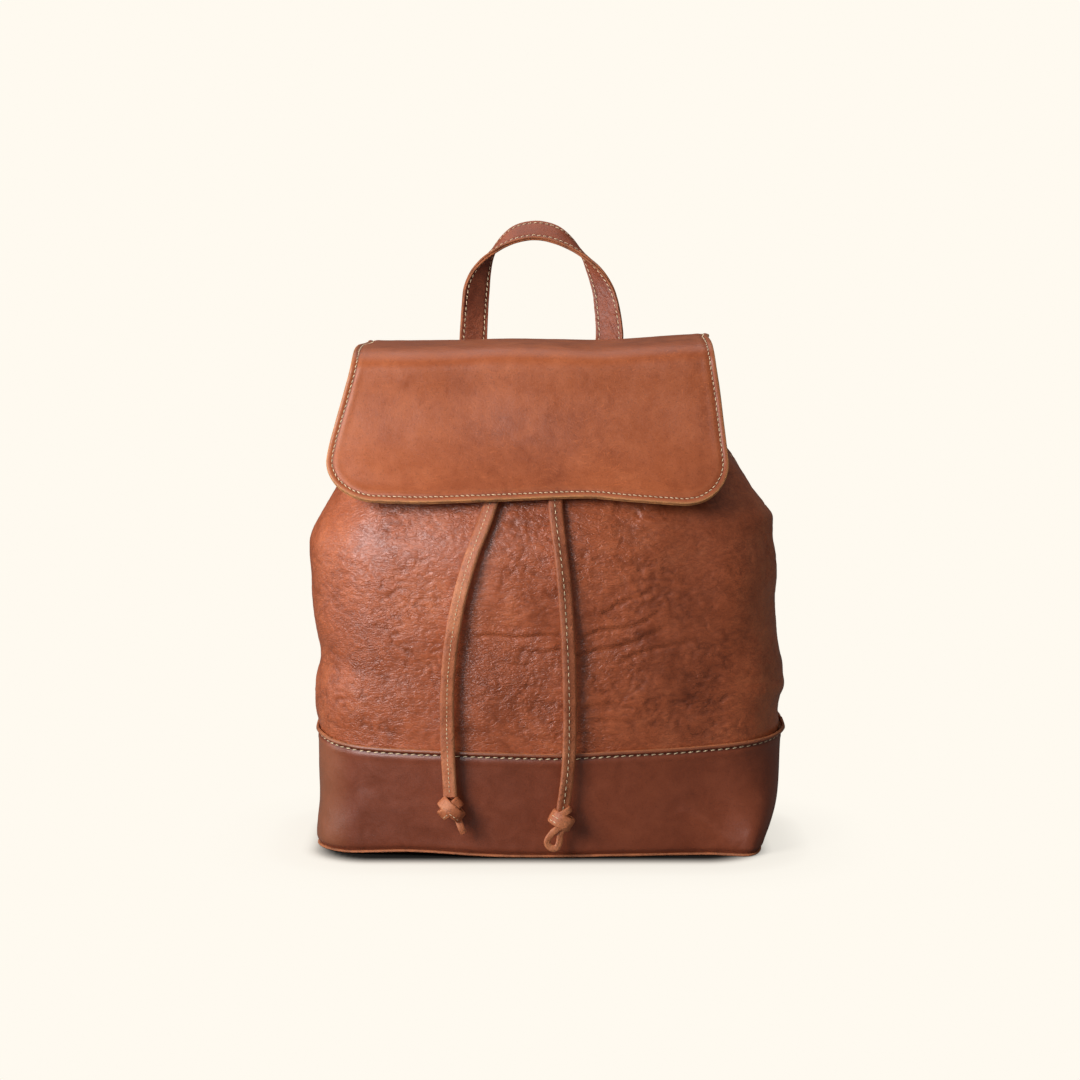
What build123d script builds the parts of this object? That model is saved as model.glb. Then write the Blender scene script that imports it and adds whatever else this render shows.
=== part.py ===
"""A drawstring leather backpack: bucket body, folding flap, grab handle and two shoulder straps.

Millimetres, +Z up, the front of the bag faces -Y. The origin is the centre of the sole's underside.
Soft walls are plain closed solids of the true size; hardware is modelled as it works.
"""

import math

from build123d import *

# ---------------------------------------------------------------- driving dimensions
LEATHER = 2.0                 # thickness of one hide layer
LAP = 0.1                     # clearance between a lapped layer and what it covers
LINING_GAP, LINING = 0.3, 0.8
BACK = 65.0                   # the flat back panel's outer face
CROWN_RADIUS = 600.0          # how gently the front face bows out, seen from above
SIDE_SEAM_Y = 8.0
SEAM_Z, SEAM_LAP = 72.0, 10.0   # top edge of the base band, and how far it laps over the body
RIM_Z = 318.0                 # the mouth's rim
SOLE, SOLE_LIP = 2.4, 2.6     # sole thickness, and how far its raw edge stands out
BOARD = 2.5

# height, half width, front depth, front corner radius, back corner radius
STATIONS = [
    (0.0, 141.0, 64.0, 34.0, 26.0),
    (35.0, 145.0, 66.0, 38.0, 26.0),
    (75.0, 149.0, 69.0, 42.0, 26.0),
    (120.0, 152.0, 72.0, 46.0, 26.0),
    (170.0, 153.0, 73.0, 48.0, 26.0),
    (208.0, 152.0, 69.2, 48.0, 26.0),
    (230.0, 143.0, 62.5, 46.0, 26.0),
    (250.0, 130.0, 53.0, 42.0, 25.0),
    (270.0, 117.0, 42.0, 38.0, 24.0),
    (292.0, 98.0, 30.0, 34.0, 24.0),
    (330.0, 98.0, 30.0, 34.0, 24.0),
]

# drawstring and its eyelets
EYELET_Z, EYELET_BORE, EYELET_BARREL, EYELET_FLANGE = 305.0, 5.0, 6.0, 8.0
FACING = 1.4
LACE_THICK, LACE_HEIGHT = 2.6, 8.0
LACE_OUT, LACE_IN = 2.4, -6.1  # the woven lace's centre line, from the wall's outer face
TAIL_WIDTH, TAIL_THICK = 9.5, 3.5

# flap
FLAP_LEATHER, FLAP_LINING = 2.0, 1.2
FLAP_TOP_HALF, FLAP_BOTTOM_HALF, FLAP_CORNER = 115.0, 130.0, 30.0
FLAP_EDGE_Z, FLAP_GAP = 236.0, 5.6
# the flap's inner face in (y, z): up the back, over the mouth, and down to the front fold
ROOT_PATH, ROOT_RADII = [(65.1, 246.0), (65.1, 290.0), (69.0, 297.5), (69.0, 323.9)], [12, 12]
CROWN_PATH = [(69.0, 324.1), (69.0, 328.5), (30.0, 330.2), (-18.0, 329.6), (-42.4, 326.2), (-42.4, 318.1)]
CROWN_RADII = [3.5, 150, 60, 9]
FLAP_CUT_Z = 333.0            # height at which the flap has narrowed to its top width

# magnetic snap
SNAP_Z, SNAP_RADIUS = 262.0, 7.5
SNAP_SOCKET, SNAP_STUD = 2.5, 2.3       # heights of the two discs
SNAP_WELL, SNAP_NIPPLE = 3.2, 2.3       # radii of the hollow and of what enters it

# handle: centre line of the left half from the patch to the crown, and the direction across the strap
HANDLE_WIDTH, HANDLE_LAYER, HANDLE_GAP = 19.0, 1.85, 0.05
HANDLE_FRAMES = [
    ((-44.0, 70.7, 288.8), (1.0, 0.0, 0.0)),
    ((-44.0, 76.2, 300.0), (1.0, 0.0, 0.0)),
    ((-44.0, 85.2, 318.0), (1.0, 0.04, 0.0)),
    ((-43.8, 93.8, 338.0), (0.98, 0.2, 0.0)),
    ((-42.0, 100.8, 358.0), (0.86, 0.5, 0.05)),
    ((-37.0, 106.0, 378.0), (0.55, 0.8, 0.15)),
    ((-28.0, 110.0, 393.0), (0.2, 0.9, 0.35)),
    ((-15.0, 112.0, 402.0), (0.05, 0.8, 0.58)),
    ((0.0, 112.5, 405.0), (0.0, 0.68, 0.73)),
]

# shoulder straps, drawn in a plane through both anchors: s runs down the line between them, h stands off it
STRAP_Y = 70.4
STRAP_TOP, STRAP_FOOT = (28.0, STRAP_Y, 242.0), (92.0, STRAP_Y, 46.0)
UPPER_THICK, UPPER_HALF, UPPER_END_HALF = 4.0, 15.0, 11.0
LOWER_THICK, LOWER_HALF = 2.5, 10.0
BUCKLE_AT, BUCKLE_HEADING = (126.0, 60.0), math.radians(26.0)
FAR_BAR = 24.5                # from the buckle's heel bar to the bar the prong rests on
UPPER_CUT, LOWER_CUT = 20.0, 18.0   # where the swinging length parts from the sewn ends
WIRE = 1.5                    # radius of the buckle and ring wire
KEEPER_LONG, KEEPER_HIGH, KEEPER_WALL = 9.0, 12.0, 1.6
PUNCHED, PUNCH_RADIUS = (-20.0, -34.0, -48.0), 2.0   # holes of the free end, from the heel bar
RING_TAB, RING_STRAP = (216.0, 0.0), (210.0, 9.0)
PATCH_Z0, PATCH_Z1, PATCH_HALF, PATCH_CORNER = 244.0, 287.0, 62.0, 6.0
RIVET_IN, RIVET_HEAD, TAB_RIVET_HEAD = 6.0, (3.2, 1.3), (2.6, 1.1)   # heads as (radius, height)

# hanging lace ends: (x, y, z) of the centre line, covered length first, then from under the flap to the knot
LACE_LEFT_HIDDEN = [
    (-16, -34.2, 300.4), (-16, -37.5, 288), (-18.5, -46.5, 268), (-23, -55.8, 251), (-28.8, -64.9, 234.3),
]
LACE_LEFT = [
    (-29.2, -65.6, 232.9), (-34, -71.0, 219), (-41.5, -76.0, 201), (-49, -77.8, 176), (-54.6, -77.9, 148),
    (-57.6, -77.2, 119), (-58, -76.0, 90), (-57.2, -75.4, 64), (-56, -75.0, 43),
]
LACE_RIGHT_HIDDEN = [
    (16, -34.2, 300.4), (15, -37.5, 288), (13.2, -46.5, 268), (12, -55.8, 251), (11.8, -65.0, 234.3),
]
LACE_RIGHT = [
    (11.8, -65.8, 232.9), (13, -71.4, 219), (15.6, -76.5, 201), (18.2, -78.2, 176), (20, -78.4, 148),
    (21, -77.9, 119), (21.4, -77.0, 90), (20.6, -76.2, 66), (18.8, -75.8, 48), (16.6, -75.6, 34),
]
KNOT_WIDTH, KNOT_DEPTH, KNOT_HIGH, KNOT_ROUND = 14.0, 8.5, 13.0, 3.2
TIP_WIDTH, TIP_THICK, TIP_LONG, TIP_LEAN = 5.0, 2.6, 13.0, 22.0

# zipped pocket on the inside of the back
POCKET_HALF, POCKET_Z0, POCKET_Z1 = 92.0, 90.0, 206.0
CLOTH, ZIP_Z, ZIP_WIDE, ZIP_SLOT, SLIDER_X = 1.0, 217.0, 21.6, 2.4, -68.0


FAR = 1000.0                  # larger than anything in the bag, for cutting solids
# how a part is placed: centred, and standing on its base
ON_BASE = (Align.CENTER, Align.CENTER, Align.MIN)


# ---------------------------------------------------------------- small helpers
def save(name, *shapes):
    """Writes one node from its solids."""
    solids = [s for shape in shapes for s in shape.solids()]
    export_step(Compound(children=solids) if len(solids) > 1 else solids[0], f"parts/{name}.step")


def both_sides(name, shape):
    """The right-hand solid as modelled, and its mirror image on the left."""
    save(f"{name}_right", shape)
    save(f"{name}_left", mirror(shape, about=Plane.YZ))


def lerp(a, b, t):
    return a + (b - a) * t


def profile(z):
    """Half width, front depth and the two corner radii of the body at a height."""
    z = min(max(z, STATIONS[0][0]), STATIONS[-1][0])
    for low, high in zip(STATIONS, STATIONS[1:]):
        if z <= high[0]:
            t = (z - low[0]) / (high[0] - low[0])
            return [lerp(a, b, t) for a, b in zip(low[1:], high[1:])]


def corner_centre(z):
    """Centre of the right front corner, and the y of the front crown's centre."""
    half, front, r_front, _ = profile(z)
    crown_y = CROWN_RADIUS - front
    reach = math.sqrt((CROWN_RADIUS - r_front) ** 2 - (half - r_front) ** 2)
    return half - r_front, crown_y - reach, crown_y


def outline(z, grow=0.0):
    """The body's outline at a height, as a face, moved out by grow everywhere."""
    half, front, r_front, r_back = profile(z)
    cx, cy, crown_y = corner_centre(z)
    r_front, r_back = r_front + grow, r_back + grow
    lean = math.atan2(crown_y - cy, cx)           # direction from the crown's centre to the corner's
    tangent = (cx + r_front * math.cos(lean), cy - r_front * math.sin(lean))
    middle = (cx + r_front * math.cos(lean / 2), cy - r_front * math.sin(lean / 2))
    side, back = half + grow, BACK + grow
    bx, by = side - r_back, back - r_back
    diagonal = r_back * math.sqrt(0.5)

    def at(x, y):
        return (x, y, z)

    edges = [
        Edge.make_three_point_arc(at(-tangent[0], tangent[1]), at(0, -front - grow), at(*tangent)),
        Edge.make_three_point_arc(at(*tangent), at(*middle), at(side, cy)),
        Edge.make_line(at(side, cy), at(side, by)),
        Edge.make_three_point_arc(at(side, by), at(bx + diagonal, by + diagonal), at(bx, back)),
        Edge.make_line(at(bx, back), at(-bx, back)),
        Edge.make_three_point_arc(at(-bx, back), at(-bx - diagonal, by + diagonal), at(-side, by)),
        Edge.make_line(at(-side, by), at(-side, cy)),
        Edge.make_three_point_arc(at(-side, cy), at(-middle[0], middle[1]), at(-tangent[0], tangent[1])),
    ]
    return Face(Wire(edges))


def body_solid(z0, z1, grow):
    """The space inside the body's outline from z0 to z1."""
    heights = [z0] + [s[0] for s in STATIONS if z0 < s[0] < z1] + [z1]
    return Solid.make_loft([outline(z, grow).outer_wire() for z in heights], ruled=True)


def shell(z0, z1, outer, inner):
    """A wall that follows the body between two offsets."""
    return body_solid(z0, z1, outer) - body_solid(z0 - 1, z1 + 1, inner)


def half_space(front):
    """A box over everything in front of the side seams, or behind them."""
    y = SIDE_SEAM_Y - FAR / 2 if front else SIDE_SEAM_Y + FAR / 2
    return Pos(0, y, 0) * Box(FAR, FAR, FAR)


def parallel(points, radii, distance):
    """A filleted polyline beside another one: distance to its left, with the same corner centres."""
    moved = []
    for i, (x, y) in enumerate(points):
        before = points[max(i - 1, 0)]
        after = points[min(i + 1, len(points) - 1)]
        a = math.atan2(y - before[1], x - before[0]) if i > 0 else None
        b = math.atan2(after[1] - y, after[0] - x) if i < len(points) - 1 else None
        a, b = (b if a is None else a), (a if b is None else b)
        turn = math.atan2(math.sin(b - a), math.cos(b - a))
        middle, stretch = a + turn / 2, distance / math.cos(turn / 2)
        moved.append((x - stretch * math.sin(middle), y + stretch * math.cos(middle)))
    turns = []
    for p, q, r in zip(moved, moved[1:], moved[2:]):
        turns.append((q[0] - p[0]) * (r[1] - q[1]) - (q[1] - p[1]) * (r[0] - q[0]))
    radii = [max(r - distance if turn > 0 else r + distance, 0.2) for r, turn in zip(radii, turns)]
    return FilletPolyline(*moved, radius=radii)


def ribbon(points, radii, low, high):
    """The strip between two lines parallel to a path, as a flat face."""
    first, second = parallel(points, radii, low), parallel(points, radii, high)
    ends = [Line(first @ 0, second @ 0), Line(first @ 1, second @ 1)]
    return make_face([*first.edges(), *second.edges(), *ends])


def across(face, half):
    """A face drawn in (y, z), run out along X to both sides."""
    on_plane = Plane.YZ * face
    return extrude(on_plane, amount=half, both=True)


# ---------------------------------------------------------------- base and body
def wall_place(x=None, y=None, z=EYELET_Z):
    """A point on the body's outline and its outward direction: by x on the front, by y on the side."""
    half, _, _, _ = profile(z)
    if y is not None:
        return (half, y), (1.0, 0.0)
    crown_y = corner_centre(z)[2]
    lean = math.asin(x / CROWN_RADIUS)
    return (x, crown_y - CROWN_RADIUS * math.cos(lean)), (math.sin(lean), -math.cos(lean))


def mouth_route():
    """Places round the right half of the mouth from front to back, and which of them are eyelets."""
    half, _, r_front, r_back = profile(EYELET_Z)
    cx, cy, _ = corner_centre(EYELET_Z)

    def corner(centre, radius, degrees):
        d = (math.cos(math.radians(degrees)), math.sin(math.radians(degrees)))
        return ((centre[0] + radius * d[0], centre[1] + radius * d[1]), d), False

    places = [(wall_place(x=16), True), (wall_place(x=38), False), (wall_place(x=60), True)]
    places += [corner((cx, cy), r_front, degrees) for degrees in (-80, -60, -40, -20, 0)]
    places += [(wall_place(y=16.5), True), (wall_place(y=33.5), True)]
    places += [corner((half - r_back, BACK - r_back), r_back, degrees) for degrees in (5, 25, 45, 65, 88)]
    places += [(((56.0, BACK), (0.0, 1.0)), True), (((20.0, BACK), (0.0, 1.0)), True)]
    return places


def eyelet_places():
    right = [place for place, is_eyelet in mouth_route() if is_eyelet]
    return right + [((-p[0], p[1]), (-n[0], n[1])) for p, n in right]


def along_normal(place, start, length, radius):
    """A cylinder on an eyelet's axis, from start outwards from the wall's face."""
    (x, y), (nx, ny) = place
    plane = Plane(origin=(x + nx * start, y + ny * start, EYELET_Z), z_dir=(nx, ny, 0))
    return plane * Cylinder(radius, length, align=ON_BASE)


def eyelet(place):
    """A barrel through the wall and its facing, with a flange rolled over each side."""
    flange, wall = 0.8, LEATHER + LINING_GAP + FACING
    ring = along_normal(place, -wall - flange, wall + 2 * flange, EYELET_BARREL)
    ring += along_normal(place, 0.1, flange - 0.1, EYELET_FLANGE)
    ring += along_normal(place, -wall - flange, flange - 0.1, EYELET_FLANGE)
    return ring - along_normal(place, -20, 40, EYELET_BORE)


def drawstring_plan():
    """The lace's centre line seen from above, from the right front eyelet round the back to the left one."""
    right, side = [], LACE_IN
    for i, ((point, normal), is_eyelet) in enumerate(mouth_route()):
        grows = [side]
        if is_eyelet:
            grows = [LACE_OUT + 1.6, LACE_IN] if i == 0 else [side, LACE_OUT + LACE_IN - side]
            side = grows[1]
        right += [(point[0] + normal[0] * g, point[1] + normal[1] * g) for g in grows]
    return right + [(-x, y) for x, y in reversed(right)]


def thick_line(points, half):
    """A polygon of even width round a line with mitred corners."""
    def offset_side(sign):
        out = []
        for i, (x, y) in enumerate(points):
            px, py = points[max(i - 1, 0)]
            qx, qy = points[min(i + 1, len(points) - 1)]
            a = math.atan2(y - py, x - px) if i else math.atan2(qy - y, qx - x)
            b = math.atan2(qy - y, qx - x) if i < len(points) - 1 else a
            turn = math.atan2(math.sin(b - a), math.cos(b - a))
            reach = sign * half / math.cos(turn / 2)
            out.append((x - reach * math.sin(a + turn / 2), y + reach * math.cos(a + turn / 2)))
        return out

    return make_face(Polyline(*offset_side(1), *reversed(offset_side(-1)), close=True))


def build_body():
    sole = extrude(outline(0, SOLE_LIP), amount=SOLE)
    save("sole", sole)
    board = extrude(outline(0, -6.0), amount=BOARD).moved(Location((0, 0, SOLE + 0.2)))
    save("base_board", board)

    band = shell(SOLE, SEAM_Z, LEATHER + LAP, LAP)
    save("base_band_front", band & half_space(True))
    save("base_band_back", band & half_space(False))

    holes = [along_normal(p, -20, 40, EYELET_BARREL) for p in eyelet_places()]
    upper = shell(SEAM_Z - SEAM_LAP, RIM_Z, 0, -LEATHER)
    front, back = upper & half_space(True), upper & half_space(False)
    facing_out = -LEATHER - LINING_GAP
    facing = shell(284.0, RIM_Z, facing_out, facing_out - FACING)
    for hole in holes:
        front, back, facing = front - hole, back - hole, facing - hole
    save("body_front", front)
    save("body_back", back)
    save("mouth_facing_front", facing & half_space(True))
    save("mouth_facing_back", facing & half_space(False))
    save("eyelets", *[eyelet(p) for p in eyelet_places()])

    floor_z = SOLE + 0.2 + BOARD + 0.3
    lining = body_solid(floor_z, 283.5, facing_out) - body_solid(floor_z + LINING, 290.0, facing_out - LINING)
    save("lining", lining)


# ---------------------------------------------------------------- drawstring
def arc_radii(points):
    """The largest even arc at each corner: 0.45 of the shorter run over the tangent of half the turn."""
    radii = []
    for p, q, r in zip(points, points[1:], points[2:]):
        before, after = Vector(*q) - Vector(*p), Vector(*r) - Vector(*q)
        half_turn = math.radians(before.get_angle(after)) / 2
        radii.append(0.45 * min(before.length, after.length) / math.tan(half_turn))
    return radii


def lace(name, points):
    """A flat lace swept along its centre line."""
    radii = arc_radii(points)
    path = FilletPolyline(*points, radius=radii)
    start = Plane(origin=path @ 0, x_dir=(1, 0, 0), z_dir=path % 0)
    section = start * Rectangle(TAIL_WIDTH, TAIL_THICK)
    solid = sweep(section, path=path)
    print(name, "radii", [round(r) for r in radii], "length", round(path.length, 1),
          "volume", round(solid.volume), "of", round(section.area * path.length))
    save(name, solid)
    return path


def lace_knot(name, path, lean):
    """The knot that ends a lace, with the short end that sticks out below it."""
    plane = Plane(origin=path @ 1 + (path % 1) * 0.05, x_dir=(1, 0, 0), z_dir=path % 1)
    knot = fillet(Box(KNOT_WIDTH, KNOT_DEPTH, KNOT_HIGH, align=ON_BASE).edges(), KNOT_ROUND)
    tip = Rot(0, lean, 0) * Box(TIP_WIDTH, TIP_THICK, TIP_LONG, align=ON_BASE)
    save(name, plane * (knot + Pos(math.copysign(2.0, lean), 0, KNOT_HIGH - 1) * tip))


def build_drawstring():
    plan = thick_line(drawstring_plan(), LACE_THICK / 2)
    save("drawstring_loop", extrude(Pos(0, 0, EYELET_Z - LACE_HEIGHT / 2) * plan, amount=LACE_HEIGHT))
    lace("lace_left_hidden", LACE_LEFT_HIDDEN)
    lace("lace_right_hidden", LACE_RIGHT_HIDDEN)
    lace_knot("lace_knot_left", lace("lace_left", LACE_LEFT), TIP_LEAN)
    lace_knot("lace_knot_right", lace("lace_right", LACE_RIGHT), -TIP_LEAN)


# ---------------------------------------------------------------- flap
def front_slope(z, off):
    """The y of a line standing off the body's sloping front by off, measured square to the slope."""
    low, high = 250.0, 292.0
    y_low, y_high = -profile(low)[1], -profile(high)[1]
    slope = math.atan2(y_high - y_low, high - low)
    return lerp(y_low, y_high, (z - low) / (high - low)) - off / math.cos(slope)


def flap_half(z):
    return lerp(FLAP_BOTTOM_HALF, FLAP_TOP_HALF, (z - FLAP_EDGE_Z) / (FLAP_CUT_Z - FLAP_EDGE_Z))


def flap_outline(z0, z1):
    """The flap seen from the front, rounded at its lower corners, as a prism along Y."""
    corners = [(-flap_half(z0), z0), (flap_half(z0), z0), (flap_half(z1), z1), (-flap_half(z1), z1)]
    face = make_face(Polyline(*corners, close=True))
    if z0 == FLAP_EDGE_Z:
        face = fillet(face.vertices().sort_by(Axis.Y)[:2], FLAP_CORNER)
    return extrude(Plane.XZ * face, amount=400, both=True)


def build_flap():
    start = (CROWN_PATH[-1][0], CROWN_PATH[-1][1] - 0.2)
    face_path = [start, (start[0] - 0.8, 300.0), (front_slope(272, FLAP_GAP), 272.0),
                 (front_slope(252, FLAP_GAP), 252.0), (front_slope(238, FLAP_GAP) - 1.0, FLAP_EDGE_Z - 1)]
    face_radii = [60, 60, 60]
    layers = {"": (-FLAP_LINING - FLAP_LEATHER, -FLAP_LINING - 0.02), "_lining": (-FLAP_LINING, 0.0)}
    for suffix, (low, high) in layers.items():
        save(f"flap_root{suffix}", across(ribbon(ROOT_PATH, ROOT_RADII, low, high), FLAP_TOP_HALF))
        crown = across(ribbon(CROWN_PATH, CROWN_RADII, low, high), 200)
        save(f"flap_crown{suffix}", crown & flap_outline(310.0, 345.0))
        face = across(ribbon(face_path, face_radii, low, high), 200)
        save(f"flap_face{suffix}", face & flap_outline(FLAP_EDGE_Z, 326.0))
    build_snap(FLAP_GAP)


def build_snap(gap):
    y = front_slope(SNAP_Z, 0)
    slope = math.atan2(front_slope(292, 0) - front_slope(250, 0), 42.0)
    out = Plane(origin=(0, y, SNAP_Z), x_dir=(1, 0, 0), z_dir=(0, -math.cos(slope), math.sin(slope)))
    socket = Pos(0, 0, 0.15) * Cylinder(SNAP_RADIUS, SNAP_SOCKET, align=ON_BASE)
    socket -= Pos(0, 0, 1.3) * Cylinder(SNAP_WELL, SNAP_SOCKET, align=ON_BASE)
    stud = Pos(0, 0, gap - SNAP_STUD - 0.05) * Cylinder(SNAP_RADIUS - 0.5, SNAP_STUD, align=ON_BASE)
    stud += Pos(0, 0, gap - SNAP_STUD - 1.15) * Cylinder(SNAP_NIPPLE, 1.2, align=ON_BASE)
    save("snap_socket", out * socket)
    save("snap_stud", out * stud)


# ---------------------------------------------------------------- grab handle
def handle_frames():
    """Centre, across and outward directions along the whole handle, four steps to each named frame."""
    named = [(Vector(*c), Vector(*w)) for c, w in HANDLE_FRAMES]
    named += [(Vector(-c.X, c.Y, c.Z), Vector(-w.X, w.Y, w.Z)) for c, w in reversed(named[:-1])]
    steps, smooth = 4, []
    for i in range(len(named) - 1):
        around = [named[max(i - 1, 0)], named[i], named[i + 1], named[min(i + 2, len(named) - 1)]]
        for k in range(steps + (1 if i == len(named) - 2 else 0)):
            t = k / steps
            weights = [-t / 2 + t * t - t**3 / 2, 1 - 2.5 * t * t + 1.5 * t**3,
                       t / 2 + 2 * t * t - 1.5 * t**3, -t * t / 2 + t**3 / 2]
            centre, across_strap = Vector(), Vector()
            for (c, w), weight in zip(around, weights):
                centre, across_strap = centre + c * weight, across_strap + w * weight
            smooth.append((centre, across_strap))
    frames = []
    for i, (c, w) in enumerate(smooth):
        along = (smooth[min(i + 1, len(smooth) - 1)][0] - smooth[max(i - 1, 0)][0]).normalized()
        w = (w - along * w.dot(along)).normalized()
        frames.append((c, w, along.cross(w)))
    return frames


def handle_layer(low, high):
    """One layer of the handle, between two distances from its centre line."""
    sections = []
    for c, w, out in handle_frames():
        a = w * (HANDLE_WIDTH / 2)
        corners = [c - a + out * low, c + a + out * low, c + a + out * high, c - a + out * high]
        sections.append(Wire.make_polygon(corners, close=True))
    return Solid.make_loft(sections, ruled=True)


def build_handle():
    save("handle_outer", handle_layer(HANDLE_GAP, HANDLE_LAYER))
    save("handle_inner", handle_layer(-HANDLE_LAYER, -HANDLE_GAP))
    end = Pos(44.0, STRAP_Y, 279.5) * Box(HANDLE_WIDTH, 2 * HANDLE_LAYER, 15.0)
    save("handle_ends", end, mirror(end, about=Plane.YZ))


# ---------------------------------------------------------------- shoulder straps
def strap_plane():
    down = (Vector(*STRAP_FOOT) - Vector(*STRAP_TOP)).normalized()
    return Plane(origin=STRAP_TOP, x_dir=down, z_dir=down.cross(Vector(0, 1, 0)))


def from_buckle(along, out):
    """A point given from the buckle's heel bar: along the strap and out from it."""
    c, s = math.cos(BUCKLE_HEADING), math.sin(BUCKLE_HEADING)
    return (BUCKLE_AT[0] + c * along - s * out, BUCKLE_AT[1] + s * along + c * out)


def at_buckle(along, out):
    """The place of a point near the buckle, turned to the strap's heading there."""
    x, y = from_buckle(along, out)
    return Location((x, y, 0), (0, 0, math.degrees(BUCKLE_HEADING)))


def bar(at, half, radius=WIRE):
    """A round bar across the strap."""
    return Pos(at[0], at[1], 0) * Cylinder(radius, 2 * half)


def wire_frame(a, b, half):
    """A rectangular wire frame: two bars across the strap at a and b, and the sides that join them."""
    frame = bar(a, half) + bar(b, half)
    for w in (-half, half):
        start, end = Vector(a[0], a[1], w), Vector(b[0], b[1], w)
        plane = Plane(origin=start, z_dir=end - start)
        frame += plane * Cylinder(WIRE, (end - start).length, align=ON_BASE)
        frame += Pos(*start) * Sphere(WIRE) + Pos(*end) * Sphere(WIRE)
    return frame


def flat_piece(s0, s1, h0, h1, half):
    """A flat leather piece lying along the line between the anchors."""
    side = make_face(Polyline((s0, h0), (s1, h0), (s1, h1), (s0, h1), close=True))
    return extrude(side, amount=half, both=True)


def strip(path, radii, thick, half):
    return extrude(ribbon(path, radii, -thick / 2, thick / 2), amount=half, both=True)


def upper_strap():
    """The wide upper length, narrowed at the buckle and folded round its heel bar."""
    path = [(-22.0, 0.0), (18.0, 0.0), from_buckle(-76, 0), BUCKLE_AT]
    strap = strip(path, [50, 100], UPPER_THICK, UPPER_HALF)
    taper = [(-30, UPPER_HALF), (48, UPPER_HALF), (66, UPPER_END_HALF), (200, UPPER_END_HALF)]
    outline_points = [(s, -w) for s, w in taper] + list(reversed(taper))
    strap &= extrude(Plane.XZ * make_face(Polyline(*outline_points, close=True)), amount=400, both=True)
    strap += bar(BUCKLE_AT, UPPER_END_HALF, 3.6)
    return strap - bar(BUCKLE_AT, 40, WIRE + 0.15) - at_buckle(0, 0) * Box(14, 16, 4.6)


def lower_strap():
    """The narrow lower length, from its punched free end through the buckle and down to the ring."""
    path = [from_buckle(-60, 4.6), from_buckle(4, 5.4), from_buckle(18.5, -3.2), from_buckle(40, -3.4),
            (186.0, 76.0), (201.0, 52.0), RING_STRAP]
    strap = strip(path, [9, 9, 30, 22, 50], LOWER_THICK, LOWER_HALF)
    strap -= at_buckle(10.0, 0) * Box(22.0, 24.0, 4.6)
    for along in PUNCHED:
        strap -= at_buckle(along, 4.8) * Rot(90, 0, 0) * Cylinder(PUNCH_RADIUS, 12.0)
    strap += bar(RING_STRAP, LOWER_HALF, 3.2)
    return strap - bar(RING_STRAP, 40, WIRE + 0.15)


def build_prong():
    path = [from_buckle(1.5, 2.4), from_buckle(9.0, 3.0), from_buckle(FAR_BAR + 1.5, 2.5)]
    arm = extrude(ribbon(path, [20], -0.9, 0.9), amount=1.5, both=True)
    return bar(BUCKLE_AT, 1.5, 3.3) + arm - bar(BUCKLE_AT, 10, WIRE + 0.1)


def build_keeper():
    inside = 2 * UPPER_END_HALF + 0.6
    hollow = Box(2 * KEEPER_LONG, KEEPER_HIGH - 2 * KEEPER_WALL, inside)
    return at_buckle(-40.0, 2.15) * (Box(KEEPER_LONG, KEEPER_HIGH, inside + 3.0) - hollow)


def build_straps():
    plane = strap_plane()
    upper, lower = upper_strap(), lower_strap()
    both_sides("strap_top", plane * (upper & Pos(UPPER_CUT - 100.1, 0, 0) * Box(200, 400, 200)))
    both_sides("strap_upper", plane * (upper & Pos(UPPER_CUT + 200.1, 0, 0) * Box(400, 400, 200)))
    line = Pos(200, 0, 0) * Rot(0, 90, 0)
    both_sides("strap_foot", plane * (lower & line * Cylinder(LOWER_CUT - 0.1, 200)))
    both_sides("strap_lower", plane * (lower - line * Cylinder(LOWER_CUT + 0.1, 600)))
    both_sides("buckle_frame", plane * wire_frame(BUCKLE_AT, from_buckle(FAR_BAR, 0), UPPER_END_HALF + 2.3))
    both_sides("buckle_prong", plane * build_prong())
    both_sides("strap_keeper", plane * build_keeper())
    both_sides("strap_ring", plane * wire_frame(RING_TAB, RING_STRAP, LOWER_HALF + 3.2))
    tab = flat_piece(215.0, 246.0, -3.1, -1.7, LOWER_HALF + 1) + bar(RING_TAB, LOWER_HALF + 1, 3.1)
    both_sides("ring_tab", plane * (tab - bar(RING_TAB, 40, WIRE + 0.15)))
    head = Rot(90, 0, 0) * Cylinder(*TAB_RIVET_HEAD)
    heads = [Pos(s, -TAB_RIVET_HEAD[1], 0) * head for s in (230.0, 239.0)]
    both_sides("tab_rivets", plane * Compound(children=heads))


# ---------------------------------------------------------------- patch, pocket and zip
def build_patch():
    """The leather patch that covers the ends of the handle and straps on the back."""
    low = STRAP_Y + UPPER_THICK / 2 + 0.1
    patch = Box(2 * PATCH_HALF, LEATHER, PATCH_Z1 - PATCH_Z0)
    patch = Pos(0, low + LEATHER / 2, (PATCH_Z0 + PATCH_Z1) / 2) * patch
    save("yoke_patch", fillet(patch.edges().filter_by(Axis.Y), PATCH_CORNER))
    rivets = []
    for x in (-PATCH_HALF + RIVET_IN, PATCH_HALF - RIVET_IN):
        for z in (PATCH_Z0 + RIVET_IN + 1, PATCH_Z1 - RIVET_IN - 1):
            plane = Plane(origin=(x, low + LEATHER + 0.05, z), z_dir=(0, 1, 0))
            rivets.append(plane * Cylinder(*RIVET_HEAD, align=ON_BASE))
    save("patch_rivets", *rivets)


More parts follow.
